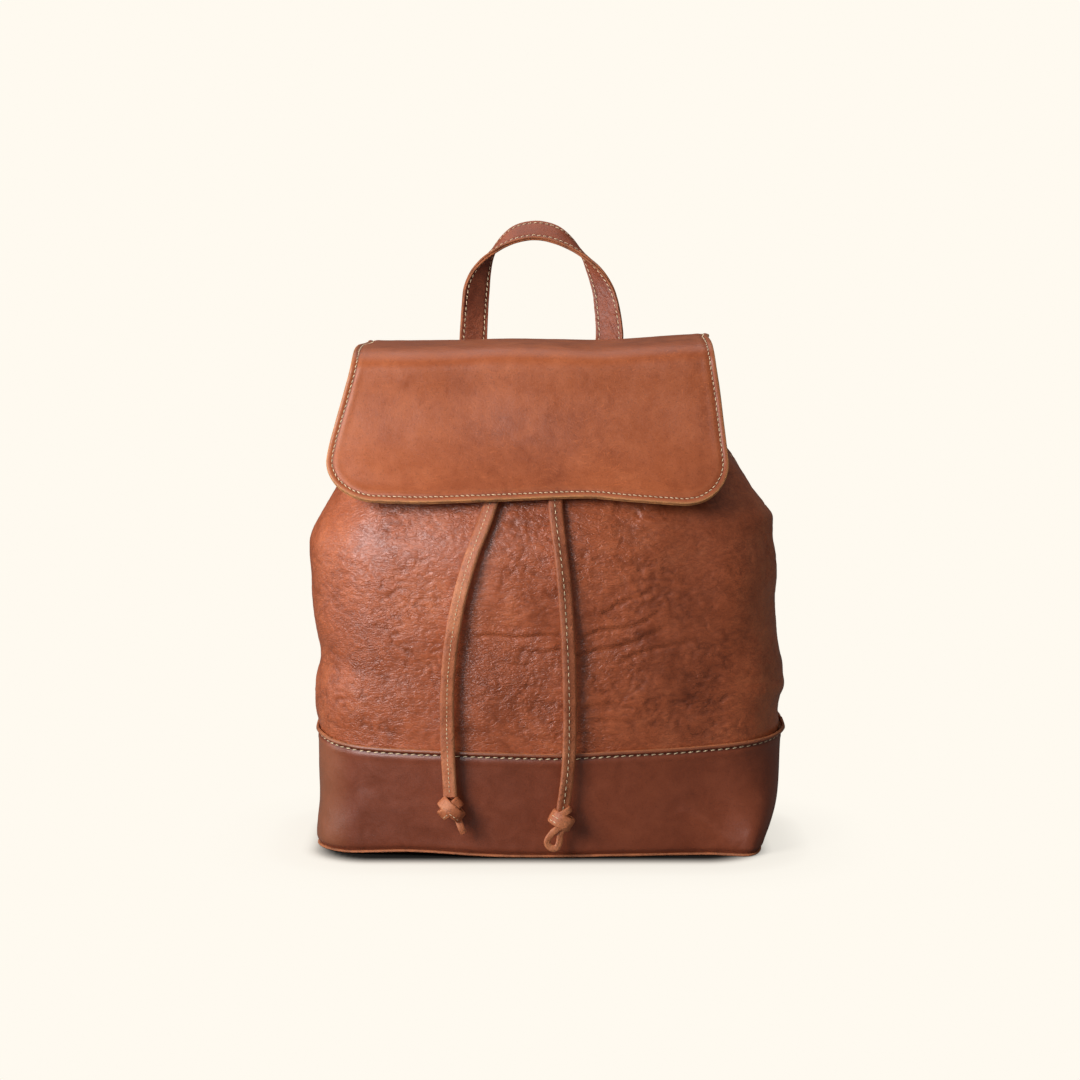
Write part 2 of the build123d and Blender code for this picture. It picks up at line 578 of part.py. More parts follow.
def build_pocket():
    """A zipped pocket on the inside of the back."""
    inside = BACK - LEATHER - LINING_GAP - LINING - LAP
    wide, tall = 2 * POCKET_HALF, POCKET_Z1 - POCKET_Z0
    save("pocket_panel", Pos(0, inside - CLOTH / 2, (POCKET_Z0 + POCKET_Z1) / 2) * Box(wide, CLOTH, tall))
    tape = Box(wide, CLOTH, ZIP_WIDE) - Box(wide - 18, 3 * CLOTH, ZIP_SLOT)
    save("zip_tape", Pos(0, inside - CLOTH / 2, ZIP_Z) * tape)
    rows = [Pos(0, inside - 1.9, ZIP_Z + dz) * Box(wide - 24, 1.6, 1.9) for dz in (-1.05, 1.05)]
    save("zip_teeth", *rows)
    slider = Pos(0, -2.6, 0) * Box(11.0, 3.0, 9.0) - Pos(0, -1.95, 0) * Box(20, 2.1, 4.8)
    for x in (-2.7, 2.7):
        slider += Pos(x, -5.3, 3.0) * Box(1.4, 2.8, 3.0)
    slider += Pos(0, -5.8, 3.0) * Rot(0, 90, 0) * Cylinder(0.7, 5.4)
    save("zip_slider", Pos(SLIDER_X, inside, ZIP_Z) * slider)
    pull = Pos(0, 0, -10.0) * Box(3.4, 1.2, 20.0) + Rot(0, 90, 0) * Cylinder(1.5, 3.4)
    pull -= Rot(0, 90, 0) * Cylinder(0.8, 10)
    save("zip_pull", Pos(SLIDER_X, inside - 5.8, ZIP_Z + 3.0) * pull)


build_body()
build_drawstring()
build_flap()
build_handle()
build_straps()
build_patch()
build_pocket()
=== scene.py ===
"""The looks of a drawstring leather backpack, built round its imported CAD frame.

Shapes are worked out in millimetres in the frame's own axes and written to meshes in metres.
"""

import math

import bpy
import numpy as np
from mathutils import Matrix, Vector


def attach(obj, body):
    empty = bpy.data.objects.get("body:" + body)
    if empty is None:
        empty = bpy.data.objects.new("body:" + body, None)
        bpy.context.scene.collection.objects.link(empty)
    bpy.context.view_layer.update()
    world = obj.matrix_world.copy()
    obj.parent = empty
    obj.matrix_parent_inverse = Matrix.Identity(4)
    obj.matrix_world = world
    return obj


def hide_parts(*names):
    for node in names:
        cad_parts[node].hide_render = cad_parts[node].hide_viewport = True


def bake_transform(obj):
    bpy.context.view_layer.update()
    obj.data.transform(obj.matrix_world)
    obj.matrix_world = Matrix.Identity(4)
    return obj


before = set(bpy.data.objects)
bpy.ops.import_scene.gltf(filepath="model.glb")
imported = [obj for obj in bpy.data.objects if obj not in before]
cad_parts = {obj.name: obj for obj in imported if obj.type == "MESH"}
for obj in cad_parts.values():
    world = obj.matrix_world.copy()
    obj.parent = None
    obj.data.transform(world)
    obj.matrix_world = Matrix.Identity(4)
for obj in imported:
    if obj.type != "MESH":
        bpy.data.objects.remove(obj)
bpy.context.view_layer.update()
MM = 0.001


# ---------------------------------------------------------------- camera, light and floor
def look_at(obj, place, target):
    obj.location = place
    obj.rotation_euler = (Vector(target) - Vector(place)).to_track_quat("-Z", "Y").to_euler()
    bpy.context.scene.collection.objects.link(obj)


def soft_light(name, place, target, size, power, colour, diffuse=True, glossy=True):
    data = bpy.data.lights.new(name, "AREA")
    data.shape, data.size, data.energy, data.color = "SQUARE", size, power, colour
    light = bpy.data.objects.new(name, data)
    light.visible_diffuse, light.visible_glossy = diffuse, glossy
    look_at(light, place, target)


camera = bpy.data.objects.new("camera", bpy.data.cameras.new("camera"))
camera.data.lens, camera.data.sensor_width = 88.0, 36.0
camera.data.clip_start, camera.data.clip_end = 0.05, 50.0
look_at(camera, (0.002, -1.750, 0.410), (0.002, 0.0, 0.201))
bpy.context.scene.camera = camera
bpy.context.scene.view_settings.view_transform = "Standard"

WARM, COOL = (1.0, 0.97, 0.93), (0.94, 0.97, 1.0)
soft_light("key", (-0.90, -0.90, 0.68), (0, 0, 0.18), 0.6, 17.5, WARM, glossy=False)
soft_light("left_box", (-0.93, -1.34, 0.70), (-0.05, 0, 0.22), 0.9, 29.0, COOL, diffuse=False)
soft_light("side_box", (-1.50, -0.15, 0.40), (0, 0, 0.18), 0.9, 7.0, COOL, diffuse=False)
soft_light("top_box", (-0.25, 0.35, 1.45), (0, 0, 0.3), 1.2, 5.5, COOL)


# ---------------------------------------------------------------- materials
def add(tree, kind, inputs=(), **props):
    """A shader node; a socket given as an input is linked, anything else is its value."""
    node = tree.nodes.new("ShaderNode" + kind)
    for key, value in props.items():
        setattr(node, key, value)
    for key, value in dict(inputs).items():
        if isinstance(value, bpy.types.NodeSocket):
            tree.links.new(value, node.inputs[key])
        else:
            node.inputs[key].default_value = value
    return node


def linear(colour):
    """A colour given as sRGB 0 to 255, in linear light with alpha."""
    unit = [c / 255 for c in colour]
    return tuple(c / 12.92 if c < 0.04045 else ((c + 0.055) / 1.055) ** 2.4 for c in unit) + (1.0,)


def ramp(tree, value, stops, smooth=False):
    """A colour ramp: stops are (position, grey value or sRGB colour)."""
    node = add(tree, "ValToRGB", {"Fac": value})
    node.color_ramp.interpolation = "EASE" if smooth else "LINEAR"
    while len(node.color_ramp.elements) < len(stops):
        node.color_ramp.elements.new(0.5)
    for element, (place, colour) in zip(node.color_ramp.elements, stops):
        element.position = place
        element.color = linear(colour) if isinstance(colour, tuple) else (colour, colour, colour, 1.0)
    return node.outputs["Color"]


def mix(tree, factor, a, b, blend="MIX"):
    node = add(tree, "Mix", data_type="RGBA", blend_type=blend)
    for key, value in ((0, factor), (6, a), (7, b)):
        if isinstance(value, bpy.types.NodeSocket):
            tree.links.new(value, node.inputs[key])
        else:
            node.inputs[key].default_value = value
    return node.outputs[2]


def new_material(name):
    material = bpy.data.materials.new(name)
    material.use_nodes = True
    return material, material.node_tree, material.node_tree.nodes["Principled BSDF"]


def noise(tree, vector, scale, detail=2.0, rough=0.5, distortion=0.0, out="Fac"):
    return add(tree, "TexNoise", {"Vector": vector, "Scale": scale, "Detail": detail,
                                  "Roughness": rough, "Distortion": distortion}).outputs[out]


def stretched(tree, coords, scale, turn):
    """Coordinates stretched for fibres: scale is per axis, turn the rotation about Y."""
    return add(tree, "Mapping", {"Vector": coords, "Scale": scale,
                                 "Rotation": (0.0, turn, 0.0)}).outputs["Vector"]


def scaled(colour, factor, more=0):
    return tuple(min(255, int(c * factor) + more) for c in colour)


def remap(tree, value, low, high, to_low=0.0, to_high=1.0):
    inputs = {"Value": value, "From Min": low, "From Max": high, "To Min": to_low, "To Max": to_high}
    return add(tree, "MapRange", inputs).outputs[0]


def cover(tree, shader, colour, height, strength, distance, **values):
    """Colour and relief for the shader, and values for its other sockets, linked where they come from a node."""
    bump = add(tree, "Bump", {"Height": height, "Strength": strength, "Distance": distance})
    values = {"base_color": colour, "normal": bump.outputs[0], **values}
    for name, value in values.items():
        socket = shader.inputs[SOCKETS[name]]
        if isinstance(value, bpy.types.NodeSocket):
            tree.links.new(value, socket)
        else:
            socket.default_value = value


SOCKETS = {"base_color": "Base Color", "normal": "Normal", "rough": "Roughness", "metallic": "Metallic",
           "coat": "Coat Weight", "coat_rough": "Coat Roughness", "specular": "Specular IOR Level",
           "sheen": "Sheen Weight"}
# stretch per axis and turn about Y of each set of scratches, and of each set of crepe folds
HAIR_SETS = [((120.0, 500.0, 1300.0), 0.55), ((1300.0, 500.0, 130.0), 0.5), ((140.0, 500.0, 1200.0), -0.9)]
FOLD_SETS = [((140.0, 280.0, 400.0), 0.45), ((175.0, 300.0, 510.0), -0.35)]
# tints mixed in by the attribute tone: pale for worn, burnished edges and for painted sheen; dark for painted shade
WEAR_AND_SHEEN, PAINTED_SHADE = linear((193, 134, 94)), linear((95, 60, 45))


def hair_scratches(tree, coords):
    """Thin curved scratches in patches, 0 to 1."""
    warp = noise(tree, coords, 30.0, 2.0, out="Color")
    bent = mix(tree, 0.035, coords, warp, "ADD")
    lines = [ramp(tree, noise(tree, stretched(tree, bent, scale, turn), 1.0, 2.0, 0.6),
                  [(0.0, 0.0), (0.60, 0.0), (0.78, 1.0)]) for scale, turn in HAIR_SETS]
    hair = mix(tree, 1.0, mix(tree, 1.0, lines[0], lines[1], "LIGHTEN"), lines[2], "LIGHTEN")
    patch = ramp(tree, noise(tree, coords, 26.0, 2.0), [(0.35, 0.1), (0.65, 1.0)])
    return mix(tree, 1.0, hair, patch, "MULTIPLY")


def crepe_creases(tree, coords):
    """Fine folds, the cells between them, and how strong both are from place to place, each 0 to 1."""
    warp = noise(tree, coords, 90.0, 2.0, 0.6, out="Color")
    bent = mix(tree, 0.006, coords, warp, "ADD")
    folds = [ramp(tree, noise(tree, stretched(tree, bent, scale, turn), 1.0, 2.5, 0.6),
                  [(0.38, 1.0), (0.5, 0.0), (0.60, 0.9)], True) for scale, turn in FOLD_SETS]
    cells = add(tree, "TexVoronoi", {"Vector": bent, "Scale": 330.0}, feature="SMOOTH_F1").outputs["Distance"]
    side = add(tree, "SeparateXYZ", {0: coords}).outputs["X"]
    calmer = remap(tree, side, 0.02, 0.13, 1.0, 0.35)
    where = ramp(tree, noise(tree, coords, 16.0, 2.0), [(0.38, 0.25), (0.60, 1.0)])
    return mix(tree, 0.5, folds[0], folds[1], "MULTIPLY"), cells, mix(tree, 1.0, where, calmer, "MULTIPLY")


def leather(name, dark, middle, light, rough=0.45, crepe=False, hairs=0.0, grain=700.0, coat=0.0,
            speckle=0.55, relief=0.0003):
    """Hide with mottled dye, fine pores, optional crepe creases and hair-thin scratches.

    The mesh attribute tone runs from -1, the darkest painted shade, as in a groove, to 1, pale: worn and burnished
    edges and painted sheen.
    """
    material, tree, shader = new_material(name)
    coords = add(tree, "TexCoord").outputs["Object"]
    broad = noise(tree, coords, 11.0, 3.0, 0.55)
    mottle = noise(tree, coords, 75.0, 5.0, 0.65, 0.6)
    dye = remap(tree, mix(tree, 0.45, broad, mottle), 0.34, 0.66)
    colour = ramp(tree, dye, [(0.0, dark), (0.5, middle), (1.0, light)])
    pores = noise(tree, coords, grain, 3.0, 0.6)
    fine = noise(tree, coords, grain * 3.1, 2.0, 0.6)
    specks = ramp(tree, noise(tree, coords, grain * 1.3, 1.0), [(0.0, 0.62), (0.33, 0.72), (0.40, 1.0)])
    colour = mix(tree, speckle, colour, specks, "MULTIPLY")
    height, strength, coat_rough = mix(tree, 0.35, pores, fine), 0.55, 0.32
    if hairs:
        hair = hair_scratches(tree, coords)
        amount = add(tree, "Math", {0: hair, 1: hairs}, operation="MULTIPLY").outputs[0]
        colour = mix(tree, amount, colour, linear(scaled(light, 1.16, 6)))
    if crepe:
        creased, cells, where = crepe_creases(tree, coords)
        # painted shade: the crepe's creases darkened in the colour
        colour = mix(tree, 0.34, colour, ramp(tree, creased, [(0.0, 0.50), (0.45, 1.0)]), "MULTIPLY")
        height = mix(tree, 0.72, height, mix(tree, 0.3, creased, cells))
        height = mix(tree, 1.0, height, where, "MULTIPLY")
        strength, relief, coat_rough = 0.65, 0.00095, 0.40
    tone = add(tree, "Attribute", attribute_name="tone").outputs["Fac"]
    colour = mix(tree, remap(tree, tone, 0.05, 1.0), colour, WEAR_AND_SHEEN)
    # painted shade: negative tone darkens the colour
    painted_shade_amount = remap(tree, tone, -0.05, -1.0, 0.0, 0.75)
    colour = mix(tree, painted_shade_amount, colour, mix(tree, 1.0, colour, PAINTED_SHADE, "MULTIPLY"))
    gloss = remap(tree, mottle, 0.3, 0.7, rough - 0.07, rough + 0.09)
    cover(tree, shader, colour, height, strength, relief, rough=gloss, coat=coat, coat_rough=coat_rough,
          specular=0.5)
    return material


def raw_edge(name, colour):
    """The cut edge of a hide: pale, fibrous, matt."""
    material, tree, shader = new_material(name)
    coords = add(tree, "TexCoord").outputs["Object"]
    fibres = noise(tree, coords, 900.0, 4.0, 0.7)
    blotch = noise(tree, coords, 120.0, 3.0)
    stops = [(0.32, scaled(colour, 0.66)), (0.5, colour), (0.68, scaled(colour, 1.14))]
    cover(tree, shader, ramp(tree, mix(tree, 0.5, fibres, blotch), stops), fibres, 0.5, 0.0003, rough=0.68)
    return material


def cloth(name, colour, pitch):
    """Plain-woven cloth: two crossed sets of threads."""
    material, tree, shader = new_material(name)
    coords = add(tree, "TexCoord").outputs["Object"]
    waves = [add(tree, "TexWave", {"Vector": coords, "Scale": 0.314 / pitch, "Distortion": 0.6, "Detail": 1.0},
                 bands_direction=direction).outputs["Fac"] for direction in ("X", "Z")]
    weave = mix(tree, 0.5, waves[0], waves[1])
    base = ramp(tree, noise(tree, coords, 40.0, 3.0), [(0.3, scaled(colour, 0.86)), (0.7, colour)])
    shade = mix(tree, 0.45, base, ramp(tree, weave, [(0.2, 0.55), (0.7, 1.0)]), "MULTIPLY")
    cover(tree, shader, shade, weave, 0.6, 0.0003, rough=0.85, sheen=0.15)
    return material


def thread(name, colour):
    """Waxed sewing thread with a twist."""
    material, tree, shader = new_material(name)
    coords = add(tree, "TexCoord").outputs["Object"]
    twist = add(tree, "TexWave", {"Vector": coords, "Scale": 420.0, "Distortion": 1.5},
                bands_direction="DIAGONAL").outputs["Fac"]
    shade = ramp(tree, noise(tree, coords, 160.0, 2.0), [(0.3, scaled(colour, 0.86)), (0.6, colour)])
    shade = mix(tree, 0.15, shade, ramp(tree, twist, [(0.0, 0.6), (0.6, 1.0)]), "MULTIPLY")
    cover(tree, shader, shade, twist, 0.4, 0.0002, rough=0.6)
    return material


def metal(name, colour, rough):
    """Plated metal with fine scratches and slight tarnish."""
    material, tree, shader = new_material(name)
    coords = add(tree, "TexCoord").outputs["Object"]
    tarnish = noise(tree, coords, 90.0, 4.0, 0.6)
    scratches = noise(tree, stretched(tree, coords, (300.0, 300.0, 3000.0), 0.7), 1.0, 2.0)
    shade = ramp(tree, tarnish, [(0.3, scaled(colour, 0.7)), (0.62, colour)])
    gloss = remap(tree, mix(tree, 0.5, tarnish, scratches), 0.3, 0.7, rough - 0.08, rough + 0.15)
    cover(tree, shader, shade, scratches, 0.15, 0.0001, rough=gloss, metallic=1.0)
    return material


FLAP_HIDE = leather("flap_hide", (146, 71, 37), (170, 87, 45), (188, 101, 55), 0.44, hairs=0.5, coat=0.05,
                    grain=620.0)
BODY_HIDE = leather("body_hide", (140, 67, 36), (176, 91, 54), (200, 110, 67), 0.37, True, 0.2, coat=0.12)
BAND_HIDE = leather("band_hide", (112, 53, 32), (128, 62, 38), (144, 72, 44), 0.36, hairs=0.3, coat=0.10,
                    grain=900.0)
LACE_HIDE = leather("lace_hide", (140, 70, 40), (182, 103, 64), (214, 138, 94), 0.52, grain=520.0, speckle=1.0,
                    relief=0.001)
STRAP_HIDE = leather("strap_hide", (128, 62, 37), (156, 78, 48), (174, 92, 58), 0.46, hairs=0.3, coat=0.04)
GRIP_HIDE = leather("grip_hide", (120, 58, 36), (150, 76, 48), (174, 94, 60), 0.50, True)
EDGE = raw_edge("raw_edge", (200, 136, 84))
DYED_EDGE = raw_edge("dyed_edge", (168, 98, 58))
SOLE_EDGE = raw_edge("sole_edge", (172, 102, 64))
FLESH = raw_edge("flesh_side", (160, 104, 70))
LINING_CLOTH = cloth("lining_cloth", (176, 154, 120), 0.0011)
ZIP_CLOTH = cloth("zip_cloth", (96, 66, 46), 0.0008)
THREAD = thread("thread", (242, 218, 180))
BRASS = metal("brass", (214, 172, 104), 0.28)
SNAP_STEEL = metal("snap_steel", (142, 136, 126), 0.36)
BOARD = raw_edge("board", (120, 96, 70))
STRAP_LAYERS = [STRAP_HIDE, DYED_EDGE, FLESH]     # face, cut edge and back of a strap


# ---------------------------------------------------------------- numbers and noise
def smooth(a, b, x):
    t = np.clip((np.asarray(x, float) - a) / (b - a), 0.0, 1.0)
    return t * t * (3 - 2 * t)


def hump(x, centre, width):
    return np.exp(-(((x - centre) / width) ** 2))


def curve(x, table):
    """A smooth line through (x, value) pairs, level beyond its ends."""
    xs, ys = np.array(table, float).T
    slopes = np.gradient(ys, xs)
    x = np.clip(np.asarray(x, float), xs[0], xs[-1])
    i = np.clip(np.searchsorted(xs, x) - 1, 0, len(xs) - 2)
    h = xs[i + 1] - xs[i]
    t = (x - xs[i]) / h
    return ((2 * t**3 - 3 * t**2 + 1) * ys[i] + (t**3 - 2 * t**2 + t) * h * slopes[i]
            + (3 * t**2 - 2 * t**3) * ys[i + 1] + (t**3 - t**2) * h * slopes[i + 1])


SEEDED = np.random.default_rng(41)
PERM = np.tile(SEEDED.permutation(256), 2)
GRADIENTS = SEEDED.normal(size=(256, 3))
GRADIENTS /= np.linalg.norm(GRADIENTS, axis=1)[:, None]


def perlin(points, size, seed=0.0):
    """Smooth noise from about -1 to 1; size is the width of its lumps in millimetres."""
    p = np.asarray(points, float) / size + seed * 17.31
    cell = np.floor(p).astype(int)
    f = p - cell
    fade = f**3 * (f * (f * 6 - 15) + 10)
    total = np.zeros(p.shape[:-1])
    for corner in np.ndindex(2, 2, 2):
        c = (cell + corner) & 255
        g = GRADIENTS[PERM[PERM[PERM[c[..., 0]] + c[..., 1]] + c[..., 2]]]
        weight = np.prod(np.where(corner, fade, 1 - fade), axis=-1)
        total += weight * np.sum(g * (f - corner), axis=-1)
    return total * 1.6


# ---------------------------------------------------------------- meshes
def normals_of(P):
    """Unit normals of a grid of points, to the left of its rows as they go up."""
    along = np.gradient(P, axis=1)
    up = np.gradient(P, axis=0)
    n = np.cross(along, up)
    return n / np.maximum(np.linalg.norm(n, axis=2), 1e-9)[..., None]


def make_mesh(name, verts, faces, materials, index=None, tone=None, sharp=50.0):
    mesh = bpy.data.meshes.new(name)
    mesh.from_pydata((np.asarray(verts) * MM).tolist(), [], faces if isinstance(faces, list) else faces.tolist())
    for m in materials:
        mesh.materials.append(m)
    if index is not None:
        mesh.polygons.foreach_set("material_index", np.asarray(index, np.int32))
    attribute = mesh.attributes.new("tone", "FLOAT", "POINT")
    if tone is not None:
        attribute.data.foreach_set("value", np.asarray(tone, np.float32).ravel())
    mesh.polygons.foreach_set("use_smooth", np.ones(len(mesh.polygons), bool))
    mesh.update()
    mesh.set_sharp_from_angle(angle=math.radians(sharp))
    mesh.validate()
    obj = bpy.data.objects.new(name, mesh)
    bpy.context.scene.collection.objects.link(obj)
    return obj


def quads(rows, columns, offset=0, wrap=False):
    """Faces of a grid of points, row by row."""
    ids = np.arange(rows * columns).reshape(rows, columns) + offset
    right = np.roll(ids, -1, axis=1)
    stop = columns if wrap else columns - 1
    a, b = ids[:-1, :stop], right[:-1, :stop]
    c, d = right[1:, :stop], ids[1:, :stop]
    return np.stack([a, b, c, d], axis=-1).reshape(-1, 4)


def slab(name, P, thick, materials, tone=None, bulge=0.3, N=None, holes=None, open_row=None, edge_tone=0.0):
    """One layer of hide: outer face P, inner face behind it, and a rounded cut edge round it.

    materials are for the face, the cut edge and the back. open_row is an end row that meets another slab.
    """
    N = normals_of(P) if N is None else N
    n, m = P.shape[:2]
    count = n * m
    top = quads(n, m)
    if holes is not None:
        top = top[~holes(P.reshape(-1, 3)[top].mean(1))]
    ids = np.arange(count).reshape(n, m)
    loop = np.concatenate([ids[0, :], ids[1:, -1], ids[-1, -2::-1], ids[-2:0:-1, 0]])
    within = np.concatenate([ids[1, :], ids[1:, -2], ids[-2, -2::-1], ids[-2:0:-1, 1]])
    size = len(loop)
    flat_p, rim_n = P.reshape(-1, 3), N.reshape(-1, 3)[loop]
    out = np.cross(flat_p[np.roll(loop, -1)] - flat_p[np.roll(loop, 1)], rim_n)
    out *= np.sign(np.sum(out * (flat_p[loop] - flat_p[within]), axis=1))[:, None]
    length = np.linalg.norm(out, axis=1)[:, None]
    out = np.where(length > 1e-6, out / np.maximum(length, 1e-6), 0.0)
    middle = flat_p[loop] - rim_n * thick / 2
    arcs = [math.radians(a) for a in (30, 60, 90, 120, 150)]
    rings = [middle + rim_n * thick / 2 * math.cos(a) + out * thick * bulge * math.sin(a) for a in arcs]
    verts = np.concatenate([flat_p, (P - N * thick).reshape(-1, 3), *rings])
    levels = [loop] + [2 * count + k * size + np.arange(size) for k in range(len(arcs))] + [loop + count]
    step = np.arange(size)
    shut = np.ones(size, bool)
    if open_row is not None:
        shut = ~(step < m - 1) if open_row == 0 else ~((step >= m + n - 2) & (step < 2 * m + n - 3))
    side = [np.stack([low, high, np.roll(high, -1), np.roll(low, -1)], axis=-1)[shut]
            for low, high in zip(levels, levels[1:])]
    faces = np.concatenate([top, top[:, ::-1] + count, *side])
    index = np.repeat([0, 2, 1], [len(top), len(top), len(faces) - 2 * len(top)])
    values = np.zeros(len(verts))
    if tone is not None:
        values[:count] = np.broadcast_to(tone, (n, m)).ravel()
    values[2 * count:] = edge_tone
    return make_mesh(name, verts, faces, materials, index, values)


def distances(line):
    """The distance along a line to each of its points."""
    return np.concatenate([[0], np.cumsum(np.linalg.norm(np.diff(line, axis=0), axis=1))])


def unit(*v):
    v = np.asarray(v, float)
    return v / np.linalg.norm(v)


def unit_rows(vectors):
    return vectors / np.linalg.norm(vectors, axis=1)[:, None]


def read_at(at, gone, values):
    """Values of each column read at distances along a line."""
    return np.stack([np.interp(at, gone, values[:, k]) for k in range(values.shape[1])], axis=1)


def resample(points, step):
    """Points an even step apart along a line, and the distance to each."""
    p = np.asarray(points, float)
    gone = distances(p)
    at = np.linspace(0, gone[-1], max(int(round(gone[-1] / step)), 2) + 1)
    return read_at(at, gone, p), at


def spline(points, steps=12):
    """A smooth line through the points."""
    p = np.asarray(points, float)
    p = np.concatenate([[2 * p[0] - p[1]], p, [2 * p[-1] - p[-2]]])
    out = []
    for a, b, c, d in zip(p, p[1:], p[2:], p[3:]):
        for t in np.arange(steps) / steps:
            cubic = (3 * b - a - 3 * c + d) * t**3
            out.append(0.5 * (2 * b + (c - a) * t + (2 * a - 5 * b + 4 * c - d) * t**2 + cubic))
    return np.array(out + [p[-2]])


# half length, swell and rise of the rings of one stitch, from tip to tip
STITCH_SHAPE = [(-1.0, 0.0, -1.4), (-0.9, 0.62, -0.55), (-0.55, 0.95, 0.0), (0.0, 1.05, 0.12),
                (0.55, 0.95, 0.0), (0.9, 0.62, -0.55), (1.0, 0.0, -1.4)]
STITCH_SIDES = 8


def stitches(name, path, outward, pitch, length, radius, slant, sink=0.12):
    """A row of sewn stitches along a path on a surface whose outward direction is given at each point."""
    gone = distances(path)
    centres = np.arange(pitch / 2, gone[-1] - pitch / 3, pitch)
    jitter = np.random.default_rng(len(centres)).normal(size=(len(centres), 3))
    out = unit_rows(read_at(centres, gone, outward))
    along = unit_rows(read_at(centres + 0.6, gone, path) - read_at(centres - 0.6, gone, path))
    across = np.cross(out, along)
    turn = np.radians(slant + jitter[:, 0] * 3.0)[:, None]
    lie = along * np.cos(turn) + across * np.sin(turn)
    side = np.cross(out, lie)
    middle = read_at(centres, gone, path) + out * (radius * 0.45 - sink) + across * jitter[:, 1:2] * 0.08
    half = (length / 2) * (1 + 0.05 * jitter[:, 2:3])
    verts = []
    for place, swell, rise in STITCH_SHAPE:
        for k in range(STITCH_SIDES):
            a = 2 * math.pi * k / STITCH_SIDES
            ring = side * (math.cos(a) * swell * radius) + out * (math.sin(a) * swell * radius * 0.8)
            verts.append(middle + lie * half * place + out * (rise * radius) + ring)
    one = quads(len(STITCH_SHAPE), STITCH_SIDES, wrap=True)
    faces = (one[None] + (np.arange(len(centres)) * len(verts))[:, None, None]).reshape(-1, 4)
    return make_mesh(name, np.stack(verts, axis=1).reshape(-1, 3), faces, [THREAD])


def lathe(name, places, profile, segments):
    """Turned brass pieces: profile is (radius, distance along the axis); places are (centre, axis)."""
    verts, faces = [], []
    for centre, axis in places:
        axis = unit(*axis)
        a = unit(*np.cross(axis, (0.0, 0.3, 1.0)))
        b = np.cross(axis, a)
        start = len(verts)
        for r, h in profile:
            for t in 2 * math.pi * np.arange(segments) / segments:
                verts.append(np.asarray(centre) + axis * h + (a * math.cos(t) + b * math.sin(t)) * r)
        faces += quads(len(profile), segments, start, wrap=True).tolist()
        if profile[0] != profile[-1]:
            faces.append([start + k for k in range(segments)])
            last = start + (len(profile) - 1) * segments
            faces.append([last + k for k in reversed(range(segments))])
    return make_mesh(name, verts, faces, [BRASS], sharp=40.0)


def join_tubes(name, tubes, materials):
    """Several meshes given as (verts, faces) in one object."""
    faces, offset = [], 0
    for v, f in tubes:
        faces += [[i + offset for i in face] for face in f]
        offset += len(v)
    return make_mesh(name, np.concatenate([v for v, _ in tubes]), faces, materials)


def capped(rows, columns):
    """Faces of a tube of rings, closed at both ends."""
    last = (rows - 1) * columns
    ends = [list(range(columns))[::-1], [last + k for k in range(columns)]]
    return quads(rows, columns, wrap=True).tolist() + ends


def squared_oval(half_width, half_height, power_x, power_y, step):
    """Outline of an oval; the smaller its powers, the squarer it is."""
    a = np.radians(np.arange(0, 360, step))
    c, s = np.cos(a), np.sin(a)
    return np.stack([half_width * np.sign(c) * np.abs(c) ** power_x,
                     half_height * np.sign(s) * np.abs(s) ** power_y], axis=-1)


def swept(points, across, out, section):
    """Rings of a section set across a line."""
    return points[:, None] + across[:, None] * section[None, :, 0:1] + out[:, None] * section[None, :, 1:2]


def place(piece, body, slot, *stands_for):
    """Fix a piece to a body; stands_for are the CAD nodes that it is shown instead of."""
    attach(piece, body)
    if stands_for:
        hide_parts(*stands_for)
    return piece


def bend(pieces):
    """Bake each piece's placement into its mesh."""
    for piece in pieces:
        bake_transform(piece)


# ---------------------------------------------------------------- the two hanging laces
TAIL_WIDTH, TAIL_THICK = 9.5, 3.5
LACE_ROUTES = {
    "left": [(-16, -34.2, 300.4), (-16, -37.5, 288), (-18.5, -46.5, 268), (-23, -55.8, 251), (-28.8, -64.9, 234.3),
             (-34, -71.0, 219), (-41.5, -76.0, 201), (-49, -77.8, 176), (-54.6, -77.9, 148), (-57.6, -77.2, 119),
             (-58, -76.0, 90), (-57.2, -75.4, 64), (-56, -75.0, 43)],
    "right": [(16, -34.2, 300.4), (15, -37.5, 288), (13.2, -46.5, 268), (12, -55.8, 251), (11.8, -65.0, 234.3),
              (13, -71.4, 219), (15.6, -76.5, 201), (18.2, -78.2, 176), (20, -78.4, 148), (21, -77.9, 119),
              (21.4, -77.0, 90), (20.6, -76.2, 66), (18.8, -75.8, 48), (16.6, -75.6, 34)],
}


def spline_points(name, route):
    """Points along a smooth NURBS line whose control points are the route's."""
    data = bpy.data.curves.new(name, "CURVE")
    data.dimensions = "3D"
    line = data.splines.new("NURBS")
    line.points.add(len(route) - 1)
    for point, place in zip(line.points, route):
        point.co = (*[c * MM for c in place], 1.0)
    line.order_u = 3
    line.use_endpoint_u = True
    line.resolution_u = 12
    holder = bpy.data.objects.new(name, data)
    mesh = bpy.data.meshes.new_from_object(holder)
    points = np.array([v.co[:] for v in mesh.vertices]) / MM
    bpy.data.objects.remove(holder)
    bpy.data.meshes.remove(mesh)
    bpy.data.curves.remove(data)
    return points


def lace_frame(points, face, turn=0.0):
    """Across and outward directions of a flat lace that shows its face to a direction, turned by degrees."""
    along = unit_rows(np.gradient(points, axis=0))
    across = unit_rows(np.cross(along, np.asarray(face, float)))
    out = np.cross(across, along)
    a = np.radians(np.broadcast_to(turn, len(points)))[:, None]
    return across * np.cos(a) + out * np.sin(a), out * np.cos(a) - across * np.sin(a)


def lace_section():
    """Outline of a folded lace, a little swollen on the side of its fold."""
    outline = squared_oval(TAIL_WIDTH / 2, TAIL_THICK / 2, 0.55, 0.7, 12)
    outline[:, 1] += 0.35 * hump(outline[:, 0], -3.2, 1.3) * np.sin(np.radians(np.arange(0, 360, 12)))
    return outline


